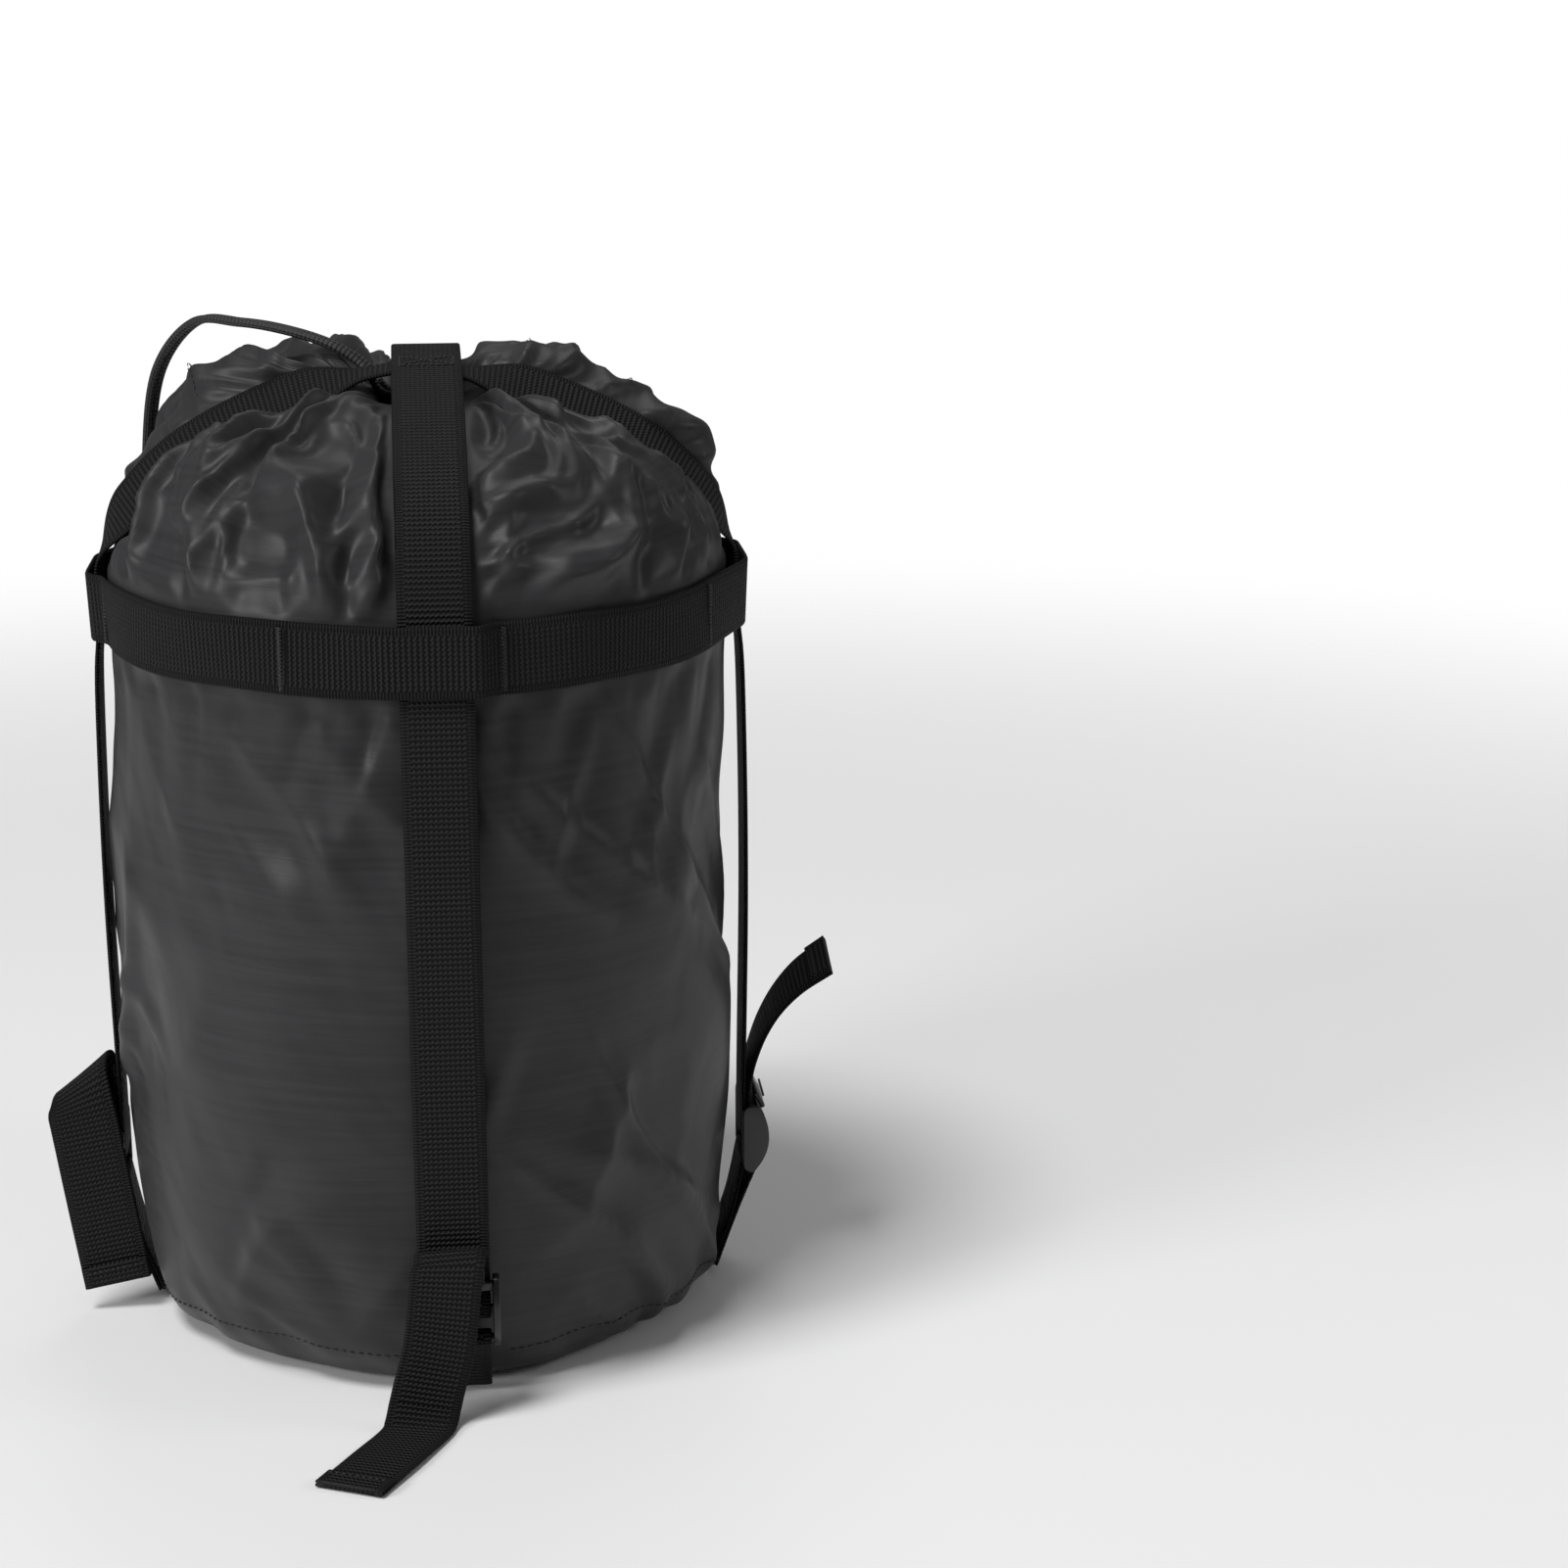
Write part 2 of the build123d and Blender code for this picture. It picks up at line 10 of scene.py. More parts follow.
import bpy
import numpy as np
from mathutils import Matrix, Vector


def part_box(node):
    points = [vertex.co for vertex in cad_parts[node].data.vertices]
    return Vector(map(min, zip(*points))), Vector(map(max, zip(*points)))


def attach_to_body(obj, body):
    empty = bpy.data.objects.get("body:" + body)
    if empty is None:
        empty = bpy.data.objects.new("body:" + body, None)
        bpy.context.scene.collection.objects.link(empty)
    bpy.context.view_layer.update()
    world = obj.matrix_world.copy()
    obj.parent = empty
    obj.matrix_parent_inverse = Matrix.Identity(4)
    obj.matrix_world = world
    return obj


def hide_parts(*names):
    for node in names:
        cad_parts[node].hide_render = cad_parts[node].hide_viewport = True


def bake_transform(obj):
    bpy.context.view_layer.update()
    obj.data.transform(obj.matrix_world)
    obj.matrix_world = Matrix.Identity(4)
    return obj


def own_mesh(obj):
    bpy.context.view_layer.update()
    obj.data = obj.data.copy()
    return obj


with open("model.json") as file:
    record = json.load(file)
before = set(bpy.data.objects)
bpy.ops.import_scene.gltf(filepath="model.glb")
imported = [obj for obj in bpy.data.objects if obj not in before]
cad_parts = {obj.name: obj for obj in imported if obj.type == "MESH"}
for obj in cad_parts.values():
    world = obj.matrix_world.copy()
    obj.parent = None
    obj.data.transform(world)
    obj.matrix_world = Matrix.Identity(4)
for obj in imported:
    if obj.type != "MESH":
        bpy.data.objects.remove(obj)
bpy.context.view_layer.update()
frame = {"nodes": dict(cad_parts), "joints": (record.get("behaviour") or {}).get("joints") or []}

bl_info = {
    "name": "Compression Sack",
    "version": (1, 0, 0),
    "blender": (4, 5, 0),
    "location": "View3D > Sidebar > Sack",
    "description": "Makes the cloth, straps, buckles and cords of a stuffed compression sack",
    "category": "Add Mesh",
}

MM = 0.001


# --------------------------------------------------------------------------------------------------------------------
# Sizes read from the frame
# --------------------------------------------------------------------------------------------------------------------

def low_high(node):
    """The lowest and highest corners of a node, as arrays."""
    low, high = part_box(node)
    return np.array(low), np.array(high)


WEB = 1.4 * MM
CLEAR = 0.3 * MM
UNDER, OVER = 1.1 * MM, 3.0 * MM
WEB_WIDTH = float(np.subtract(*low_high("strap_run_front")[::-1])[0])
BAND_LOW, BAND_HIGH = (float(corner[2]) for corner in low_high("cinch_band"))
BAND_MID = (BAND_LOW + BAND_HIGH) / 2
BELLY_R = float(low_high("side_panel")[1][0])
WAIST_R = float(low_high("top_gather")[1][0])
LOBE_TOP = float(low_high("top_gather")[1][2])
BASE_R = float(low_high("base_panel")[1][0])
STRAP_X = float(sum(corner[0] for corner in low_high("strap_run_front")) / 2)
STRAP_OUT = float(low_high("strap_run_right")[1][0])
CROWN_TOP = float(low_high("crown_strap_front")[1][2])
TOP_Z = CROWN_TOP - OVER - WEB / 2
TRAVEL = -[joint for joint in frame["joints"] if joint["name"] == "compress"][0]["range_m"][0]
SIDES = {"front": -90.0, "right": 0.0, "back": 90.0, "left": 180.0}
SHIFT = {"front": STRAP_X, "right": 0.0, "back": -STRAP_X, "left": 0.0}


def to_side(points, side, is_place=True):
    """Turns side-plane points or directions to their side of the sack; a place also moves to its strap's line."""
    points = np.asarray(points, float)
    turn = radians(SIDES[side])
    y = points[..., 1] + (SHIFT[side] if is_place else 0.0)
    x = points[..., 0]
    return np.stack([x * cos(turn) - y * sin(turn), x * sin(turn) + y * cos(turn), points[..., 2]], axis=-1)


# --------------------------------------------------------------------------------------------------------------------
# Shape tools
# --------------------------------------------------------------------------------------------------------------------

def smooth(value, low=0.0, high=1.0):
    """0 below low, 1 above high, and a smooth step between."""
    share = np.clip((value - low) / (high - low), 0.0, 1.0)
    return share * share * (3 - 2 * share)


def run_along(line):
    """Length along a line of places, from 0 at its first."""
    return np.concatenate([[0], np.cumsum(np.linalg.norm(np.diff(line, axis=0), axis=1))])


def unit(vectors):
    """Vectors scaled to length 1."""
    return vectors / np.linalg.norm(vectors, axis=-1, keepdims=True)


def headings(line, closed=False):
    """The direction of travel at each place of a line, not scaled."""
    if closed:
        return np.roll(line, -1, axis=0) - np.roll(line, 1, axis=0)
    return np.gradient(line, axis=0)


def curve_through(points, count):
    """A Catmull-Rom curve through the points, as count places evenly spaced along it."""
    points = np.asarray(points, float)
    ends = np.vstack([2 * points[0] - points[1], points, 2 * points[-1] - points[-2]])
    t = np.linspace(0, len(points) - 1 - 1e-9, 24 * len(points))
    k = t.astype(int)
    u = (t - k)[:, None]
    a, b, c, d = ends[k], ends[k + 1], ends[k + 2], ends[k + 3]
    fine = 0.5 * (2 * b + (c - a) * u + (2 * a - 5 * b + 4 * c - d) * u**2 + (3 * b - a - 3 * c + d) * u**3)
    along = run_along(fine[:, :3])
    even = np.linspace(0, along[-1], count)
    return np.stack([np.interp(even, along, fine[:, i]) for i in range(points.shape[1])], axis=1)


def waves(x, y, z, seed, octaves=3, size=0.03):
    """Smooth noise about zero: sums of sines in seeded directions, each octave finer and weaker."""
    random = np.random.default_rng(seed)
    total = np.zeros_like(x)
    for octave in range(octaves):
        for _ in range(4):
            direction = random.normal(size=3)
            direction *= 2 * pi * 2**octave / size / np.linalg.norm(direction) * random.uniform(0.7, 1.3)
            phase = random.uniform(0, 2 * pi)
            total += np.sin(x * direction[0] + y * direction[1] + z * direction[2] + phase) / 2**octave / 4
    return total


def grid_faces(rows, columns, closed_across=False, closed_along=False, flip=False):
    """Quads of a rows by columns grid, joined round across its columns or along its rows where closed."""
    r = np.arange(rows if closed_along else rows - 1)[:, None]
    c = np.arange(columns if closed_across else columns - 1)[None, :]
    beside, above = (c + 1) % columns, (r + 1) % rows
    quads = np.stack([r * columns + c, r * columns + beside, above * columns + beside, above * columns + c], axis=-1)
    quads = quads.reshape(-1, 4)
    return quads[:, ::-1] if flip else quads


class Shape:
    """Gathers grids into one mesh: places, faces, and the piece's own UV in metres."""

    def __init__(self):
        self.places, self.faces, self.uvs, self.count = [], [], [], 0

    def add(self, places, faces, uv):
        """Adds places with their uv, and faces as rows of numbers into those places."""
        self.places.append(places.reshape(-1, 3))
        self.uvs.append(uv.reshape(-1, 2))
        self.faces.extend((np.asarray(faces) + self.count).tolist())
        self.count += len(self.places[-1])

    def add_tube(self, places, uv, closed_along=False, cap_first=False, cap_last=False, flip=False):
        """Adds a grid whose rows are rings, joined end to end or capped with one face. flip turns it inside out."""
        rows, columns = places.shape[:2]
        first = self.count + np.arange(columns)
        last = first + (rows - 1) * columns
        self.add(places, grid_faces(rows, columns, True, closed_along, flip), uv)
        if cap_first:
            self.faces.append((first if flip else first[::-1]).tolist())
        if cap_last:
            self.faces.append((last[::-1] if flip else last).tolist())

    def make(self, name, material):
        """The mesh object, smooth shaded, with its UV map filled from the places' uv."""
        mesh = bpy.data.meshes.new(name)
        mesh.from_pydata(np.concatenate(self.places), [], self.faces)
        corner_place = np.zeros(len(mesh.loops), np.int32)
        mesh.loops.foreach_get("vertex_index", corner_place)
        layer = mesh.uv_layers.new(name="UVMap")
        layer.data.foreach_set("uv", np.concatenate(self.uvs)[corner_place].astype(np.float32).ravel())
        mesh.polygons.foreach_set("use_smooth", np.ones(len(mesh.polygons), bool))
        mesh.materials.append(material)
        mesh.update()
        piece = bpy.data.objects.new(name, mesh)
        bpy.context.scene.collection.objects.link(piece)
        return piece


def ribbon(shape, middles, wides, width, thick, bow=0.0, closed=False):
    """Adds a flat strap: a rounded rectangle carried along middles, its long side along wides.

    bow lifts the middle of the strap's width off its edges. The uv is (across, along) in metres.
    """
    middles, wides = np.asarray(middles, float), unit(np.asarray(wides, float))
    normals = unit(np.cross(headings(middles, closed), wides))
    across = np.array([-1, -0.985, -0.93, -0.6, -0.2, 0.2, 0.6, 0.93, 0.985, 1, 0.985, 0.93, 0.6, 0.2, -0.2, -0.6,
                       -0.93, -0.985])
    high = np.array([0, 0.62, 1, 1, 1, 1, 1, 1, 0.62, 0, -0.62, -1, -1, -1, -1, -1, -1, -0.62])
    lift = high * thick / 2 + bow * (1 - across**2)
    places = (middles[:, None] + wides[:, None] * (across * width / 2)[None, :, None]
              + normals[:, None] * lift[None, :, None])
    uv = np.stack(np.broadcast_arrays((across * width / 2)[None, :], run_along(middles)[:, None]), axis=-1)
    shape.add_tube(places, uv, closed, cap_first=not closed, cap_last=not closed, flip=True)


# --------------------------------------------------------------------------------------------------------------------
# Shader tools
# --------------------------------------------------------------------------------------------------------------------

class Socket:
    """A node socket that works in expressions: each operator adds its Math node."""

    def __init__(self, tree, link):
        self.tree, self.link = tree, link

    def math(self, operation, *values):
        """Adds a Math node fed by this socket and the values."""
        node = self.tree.nodes.new("ShaderNodeMath")
        node.operation = operation
        for k, value in enumerate((self, *values)):
            if isinstance(value, Socket):
                self.tree.links.new(value.link, node.inputs[k])
            else:
                node.inputs[k].default_value = value
        return Socket(self.tree, node.outputs[0])

    def __add__(self, other):
        return self.math("ADD", other)

    def __mul__(self, other):
        return self.math("MULTIPLY", other)

    def __sub__(self, other):
        return self.math("SUBTRACT", other)

    def __rsub__(self, other):
        return self.math("MULTIPLY", -1.0).math("ADD", other)

    def sine(self):
        """The sine of this socket."""
        return self.math("SINE")

    def absolute(self):
        """This socket without its sign."""
        return self.math("ABSOLUTE")

    def step(self, low, high):
        """0 below low, 1 above high, smooth between."""
        node = self.tree.nodes.new("ShaderNodeMapRange")
        node.interpolation_type = "SMOOTHSTEP"
        self.tree.links.new(self.link, node.inputs["Value"])
        node.inputs["From Min"].default_value = low
        node.inputs["From Max"].default_value = high
        return Socket(self.tree, node.outputs["Result"])


class Finish:
    """One material being built."""

    def __init__(self, name):
        self.material = bpy.data.materials.new(name)
        self.material.use_nodes = True
        self.tree = self.material.node_tree
        self.shader = self.tree.nodes["Principled BSDF"]

    def node(self, kind, settings=None, inputs=None, output=0):
        """Adds a node of a kind, sets it up, then fills its sockets with values or links."""
        node = self.tree.nodes.new(kind)
        for name, value in (settings or {}).items():
            setattr(node, name, value)
        for name, value in (inputs or {}).items():
            if isinstance(value, Socket):
                self.tree.links.new(value.link, node.inputs[name])
            else:
                node.inputs[name].default_value = value
        return Socket(self.tree, node.outputs[output])

    def place(self):
        """Object coordinates, split into x, y and z."""
        where = self.node("ShaderNodeTexCoord", output="Object")
        split = self.node("ShaderNodeSeparateXYZ", inputs={"Vector": where})
        return where, split, *[Socket(self.tree, split.link.node.outputs[k]) for k in (1, 2)]

    def own_uv(self):
        """The piece's own UV in metres, as across and along."""
        where = self.node("ShaderNodeUVMap", {"uv_map": "UVMap"})
        split = self.node("ShaderNodeSeparateXYZ", inputs={"Vector": where})
        return where, split, Socket(self.tree, split.link.node.outputs[1])

    def noise(self, where, scale, detail=3.0, roughness=0.55):
        """Smooth noise from 0 to 1, about scale cells to the metre."""
        return self.node("ShaderNodeTexNoise", inputs={
            "Vector": where, "Scale": scale, "Detail": detail, "Roughness": roughness})

    def mix(self, share, first, second):
        """A colour between two, by a share that varies."""
        return self.node("ShaderNodeMix", {"data_type": "RGBA"}, {0: share, 6: first, 7: second}, output=2)

    def stretched(self, where, factors):
        """Places multiplied along each axis."""
        return self.node("ShaderNodeVectorMath", {"operation": "MULTIPLY"}, {0: where, 1: factors})

    def bump(self, height, strength, distance, under=None):
        """A normal tilted by a height, on top of another bump if one is given."""
        inputs = {"Height": height, "Strength": strength, "Distance": distance}
        if under is not None:
            inputs["Normal"] = under
        return self.node("ShaderNodeBump", None, inputs)

    def feed(self, **links):
        """Links varying values to the shader's sockets, and sets plain ones."""
        for name, value in links.items():
            socket = self.shader.inputs[name.replace("_", " ")]
            if isinstance(value, Socket):
                self.tree.links.new(value.link, socket)
            else:
                socket.default_value = value
        return self.material


# --------------------------------------------------------------------------------------------------------------------
# The cloth
# --------------------------------------------------------------------------------------------------------------------

COLUMNS = 288
SIDE_ROWS, TOP_ROWS = 78, 54
VALLEY_HALF = WEB_WIDTH / 2 + 1.0 * MM
FLOOR_GAP = 0.4 * MM


def outline(points, count):
    """Even places along a smooth (radius, height) outline given in millimetres."""
    return curve_through(np.array(points) * MM, count)[:, :2]


def side_outline(count):
    """The wall from the base seam to the middle of the band, as radius and height."""
    base, belly, waist, band = BASE_R / MM, BELLY_R / MM, WAIST_R / MM, BAND_MID / MM
    return outline([
        (base, 0.6), (base + 6.0, 2.6), (base + 11.5, 8.0), (belly - 11.0, 17.0), (belly - 6.6, 38.0),
        (belly - 3.0, 68.0), (belly - 1.8, 105.0), (belly - 1.6, 150.0), (belly - 2.4, 200.0), (waist - 0.6, 240.0),
        (waist - 0.4, band - 10.0), (waist - 0.4, band)], count)


def top_outlines(count):
    """The cloth above the band, along a back lobe, a flatter front lobe, and a valley under a strap."""
    waist, band, top, lobe = WAIST_R / MM, BAND_MID / MM, TOP_Z / MM, LOBE_TOP / MM
    hem = [(15.5, top - 10.0), (12.6, top - 14.0)]
    start = [(waist - 0.4, band), (waist - 0.4, band + 9.0), (waist - 0.6, band + 15.0)]
    back = outline([
        *start, (waist - 3.5, band + 33.0), (waist - 9.0, band + 49.0), (waist - 17.5, band + 62.0),
        (waist - 28.0, band + 71.5), (waist - 42.0, lobe - 7.0), (waist - 58.0, lobe - 6.0), (waist - 74.0, lobe - 7.0),
        (waist - 88.0, top - 6.0), *hem[1:]], count)
    front = outline([
        *start, (waist - 2.6, band + 27.0), (waist - 8.0, band + 39.0), (waist - 16.0, band + 49.5),
        (waist - 28.0, band + 58.5), (waist - 43.0, top - 16.0), (waist - 60.0, top - 8.0), (waist - 76.0, top - 3.5),
        (waist - 87.0, top - 5.0), *hem[1:]], count)
    valley = outline([
        *start[:2], (waist - 0.6, band + 13.0), (waist * 0.9, top - 46.0), (waist * 0.72, top - 27.2),
        (waist * 0.42, top - 10.6), (waist * 0.25, top - 8.0), *hem], count)
    return back, front, valley


def from_straps(x, y):
    """Distance from the nearest strap's middle line, seen from above."""
    return np.minimum(np.abs(y), np.abs(x - STRAP_X))


def stuffed_rows(angle):
    """Radius and height of every row at every angle, before the cloth folds, and each row's run up the cloth.

    Above the band a row blends from the valley outline under a strap to the lobe outline beside it, which is higher
    behind the strap that crosses from left to right than in front of it.
    """
    side = side_outline(SIDE_ROWS)
    back, front, valley = (line[1:, None] for line in top_outlines(TOP_ROWS + 1))
    behind = smooth(np.sin(angle), -0.12, 0.12)[None, :, None]
    lobe = front + (back - front) * behind
    beside = from_straps(lobe[..., 0] * np.cos(angle), lobe[..., 0] * np.sin(angle))
    top = valley + (lobe - valley) * smooth(beside, VALLEY_HALF, VALLEY_HALF + 15 * MM)[..., None]
    rows = np.concatenate([np.broadcast_to(side[:, None], (SIDE_ROWS, len(angle), 2)), top])
    return rows, run_along(rows.mean(axis=1))


def pleats(phase, sharpness=0.7):
    """Rounded crests with sharp valleys between them, from -0.6 to 0.4."""
    return np.abs(np.sin(phase / 2)) ** sharpness - 0.6


def ridges(amount, width):
    """Sharp-crested folds along the zero crossings of a smooth noise, from -0.3 to 0.7."""
    return (1 - np.minimum(np.abs(amount) / width, 1.0)) ** 1.4 - 0.3


def fold_heights(angle, radius, height, depths):
    """How far the cloth stands out of its smooth shape at each place.

    Short puckers run off both edges of the band. Long slanting wrinkles cross the wall, creased where two meet.
    Above the band, deep folds fan out from the mouth across each lobe, and split into finer gathers near the mouth.
    """
    x, y = BELLY_R * np.cos(angle), BELLY_R * np.sin(angle)
    drift = waves(x, y, height, seed=5, octaves=2, size=0.11)
    below = np.maximum(BAND_LOW - height, 0.0)
    above = np.maximum(height - BAND_HIGH, 0.0)
    near, further = np.exp(-(below + above) / (13 * MM)), np.exp(-(below + above) / (34 * MM))
    uneven = 0.65 + 0.5 * waves(x, y, height * 0.2, seed=8, octaves=2, size=0.09)
    pucker = depths.pucker * uneven * (
        pleats(58 * angle + 3.0 * drift) * near + 1.5 * pleats(26 * angle + 4.0 * drift, 1.1) * further)
    on_wall = np.zeros_like(height)
    for slant, seed, size, weight in ((4.6, 21, 0.10, 1.0), (-3.8, 23, 0.12, 0.9), (10.0, 29, 0.08, 0.6)):
        turn = angle + slant * height
        line = waves(BELLY_R * np.cos(turn), BELLY_R * np.sin(turn), height * 0.35, seed, octaves=2, size=size)
        on_wall = on_wall + weight * (0.30 * line + 0.55 * ridges(line, 0.3) * smooth(drift, -0.3, 0.5))
    down_wall = 0.4 + 0.6 * smooth(BAND_LOW - height, 0.0, 60 * MM)
    wall = depths.wrinkle * on_wall * down_wall * (height < BAND_MID)
    inward = 1.0 - radius / WAIST_R
    lift = smooth(height, BAND_HIGH + 2 * MM, BAND_HIGH + 22 * MM)
    fan = angle + 0.16 * drift + 0.10 * np.sin(3 * angle + 1.0) + 0.5 * inward * np.sin(2 * angle + 0.5)
    spread = 0.1 * np.cos(fan), 0.1 * np.sin(fan)
    broad = waves(*spread, 0.30 * (height - 0.4 * radius), seed=43, octaves=1, size=0.040)
    fine = waves(*spread, 0.55 * (height - 0.4 * radius), seed=47, octaves=2, size=0.030)
    cross = waves(x * (1 - inward), y * (1 - inward), height, seed=41, octaves=2, size=0.050)
    on_top = ridges(broad, 0.5) + 0.55 * ridges(fine, 0.35) + 0.32 * ridges(cross, 0.4)
    crown = depths.fold * on_top * lift * (1.0 - 0.7 * smooth(inward, 0.5, 0.85))
    gathers = 1.1 * MM * pleats(40 * angle) * smooth(inward, 0.5, 0.8)
    return pucker + wall + np.where(height > BAND_MID, crown + gathers * lift, 0.0)


def outward(places):
    """Unit normals of a closed grid of places, away from the sack's middle."""
    round_way = np.roll(places, -1, axis=1) - np.roll(places, 1, axis=1)
    normals = np.cross(round_way, np.gradient(places, axis=0))
    return normals / np.maximum(np.linalg.norm(normals, axis=-1, keepdims=True), 1e-12)


def kept_clear(places):
    """Draws in what would touch the wall straps, the buckles, the band or the floor."""
    places = places.copy()
    x, y = places[..., 0], places[..., 1]
    low = places[..., 2] < BAND_LOW
    limit = STRAP_OUT - WEB - 0.5 * MM
    for side, turn in SIDES.items():
        way = np.array([cos(radians(turn)), sin(radians(turn))])
        out = x * way[0] + y * way[1]
        aside = -x * way[1] + y * way[0] - SHIFT[side]
        extra = np.where(low & (np.abs(aside) < 18 * MM), np.maximum(out - limit, 0.0), 0.0)
        places[..., 0] -= extra * way[0]
        places[..., 1] -= extra * way[1]
    radius = np.hypot(places[..., 0], places[..., 1])
    by_band = 1 - smooth(np.abs(places[..., 2] - BAND_MID), 16.5 * MM, 20 * MM)
    shrink = 1 - by_band * np.maximum(radius - (WAIST_R - 0.5 * MM), 0.0) / np.maximum(radius, 1e-9)
    places[..., :2] *= shrink[..., None]
    places[..., 2] = np.maximum(places[..., 2], FLOOR_GAP)
    return places


def side_lean(x, height):
    """How far the strap that crosses from left to right leans to the front on its way down each side, in radians."""
    return 0.52 * smooth(np.abs(x), 16 * MM, 40 * MM) * smooth(height, BAND_HIGH + 2 * MM, BAND_HIGH + 22 * MM)


def back_rise(y, height):
    """How far the crown strap and its valley swell up behind the crossing."""
    return 8.5 * MM * np.sin(pi * np.clip((y - 6 * MM) / (80 * MM), 0, 1)) ** 1.5 * smooth(height, BAND_HIGH, TOP_Z)


def folded_cloth(depths):
    """The whole skin as a closed grid of rows up the sack and columns round it, with each row's run up the cloth.

    Each place of the smooth shape moves along its own normal by its fold's height. The folds die away in the band's
    grip, under the crown straps and at the base seam, and the cloth beside the leaning strap banks with it.
    """
    angle = np.arange(COLUMNS) * 2 * pi / COLUMNS
    rows, run = stuffed_rows(angle)
    radius, height = rows[..., 0], rows[..., 1]
    angles = np.broadcast_to(angle, radius.shape)
    places = np.stack([radius * np.cos(angles), radius * np.sin(angles), height], axis=-1)
    held = 1 - smooth(np.abs(height - BAND_MID), 13 * MM, 17.5 * MM)
    beside = from_straps(places[..., 0], places[..., 1])
    under_strap = (1 - smooth(beside, VALLEY_HALF, VALLEY_HALF + 7 * MM)) * (height > BAND_MID)
    at_base = 1 - smooth(run, 0.0, 14 * MM)[:, None]
    free = (1 - np.clip(held + under_strap, 0, 1)) * (1 - at_base)
    y = places[..., 1].copy()
    bank = np.tan(side_lean(places[..., 0], height)) * np.clip(y, -VALLEY_HALF, VALLEY_HALF)
    out = fold_heights(angles, radius, height, depths) * free + bank * (1 - smooth(np.abs(y), 18 * MM, 34 * MM))
    near_back = 1 - smooth(np.abs(places[..., 0] - STRAP_X), VALLEY_HALF, 30 * MM)
    places = places + out[..., None] * outward(places)
    places[..., 2] += back_rise(y, height) * near_back
    return kept_clear(places), run


# --------------------------------------------------------------------------------------------------------------------
# Shapes of the other pieces
# --------------------------------------------------------------------------------------------------------------------

def tube(shape, path, radius, across, sides=12, closed=False):
    """Adds a round tube along path. across is a direction that the path never follows. The uv is (round, along)."""
    path = np.asarray(path, float)
    along = unit(headings(path, closed))
    first = unit(np.cross(along, np.broadcast_to(across, path.shape)))
    second = np.cross(along, first)
    turn = np.arange(sides) * 2 * pi / sides
    ring = first[:, None] * np.cos(turn)[None, :, None] + second[:, None] * np.sin(turn)[None, :, None]
    uv = np.stack(np.broadcast_arrays(turn[None, :], run_along(path)[:, None]), axis=-1)
    shape.add_tube(path[:, None] + ring * radius, uv, closed, cap_first=not closed, cap_last=not closed)


def stitches(shape, starts, ends, outs, thick):
    """Adds short arched threads, one from each start to its end, standing out along outs."""
    starts, ends, outs = (np.asarray(values, float) for values in (starts, ends, outs))
    share = np.array([0.0, 0.18, 0.5, 0.82, 1.0])
    rise = np.array([-0.6, 0.5, 0.9, 0.5, -0.6]) * thick
    size = np.array([0.35, 0.9, 1.0, 0.9, 0.35]) * thick
    sides = 6
    along = ends - starts
    aside = unit(np.cross(along, outs))
    turn = np.arange(sides) * 2 * pi / sides
    middle = starts[:, None] + along[:, None] * share[None, :, None] + outs[:, None] * rise[None, :, None]
    ring = (aside[:, None, None] * np.cos(turn)[None, None, :, None]
            + outs[:, None, None] * np.sin(turn)[None, None, :, None])
    places = middle[:, :, None] + ring * size[None, :, None, None]
    each = len(share) * sides
    one = grid_faces(len(share), sides, closed_across=True)
    all_faces = (one[None] + each * np.arange(len(starts))[:, None, None]).reshape(-1, 4)
    shape.add(places, all_faces, np.zeros((len(starts) * each, 2)))


def dashes(line, outs, pitch, gap=0.28):
    """Starts, ends and outward directions of stitches along a line, gap of each pitch left bare."""
    run = run_along(line)
    count = max(2, int(run[-1] / pitch))
    at = np.arange(count) * run[-1] / count
    reach = run[-1] / count * (1 - gap)

    def place(where, values):
        return np.stack([np.interp(where, run, values[:, k]) for k in range(3)], axis=1)

    return place(at, line), place(at + reach, line), place(at, outs)


def slab(shape, outline, low, high, rounding, side):
    """Adds a solid drawn as an outline in the side plane's x and z and carried from y low to high, edges rounded."""
    outline = np.asarray(outline, float)
    tangent = headings(outline, closed=True)
    area = np.sum(outline[:, 0] * np.roll(outline[:, 1], -1) - np.roll(outline[:, 0], -1) * outline[:, 1])
    normal = unit(np.stack([tangent[:, 1], -tangent[:, 0]], axis=1) * np.sign(area))
    turn = np.linspace(0, pi / 2, 4)
    inset = np.concatenate([rounding * (1 - np.sin(turn)), rounding * (1 - np.sin(turn[::-1]))])
    y = np.concatenate([low + rounding * (1 - np.cos(turn)), high - rounding * (1 - np.cos(turn[::-1]))])
    flat = outline[None] - normal[None] * inset[:, None, None]
    places = np.stack([flat[..., 0], np.broadcast_to(y[:, None], flat.shape[:2]), flat[..., 1]], axis=-1)
    shape.add_tube(to_side(places, side), flat, cap_first=True, cap_last=True, flip=area > 0)


def rounded_loop(points, count, softness):
    """A closed outline through points, evenly spaced, with its corners rounded by averaging."""
    points = np.asarray(points, float)
    closed = np.vstack([points, points[:1]])
    run = run_along(closed)
    even = np.arange(count) * run[-1] / count
    loop = np.stack([np.interp(even, run, closed[:, k]) for k in range(2)], axis=1)
    for _ in range(softness):
        loop = (np.roll(loop, 1, axis=0) + 2 * loop + np.roll(loop, -1, axis=0)) / 4
    return loop


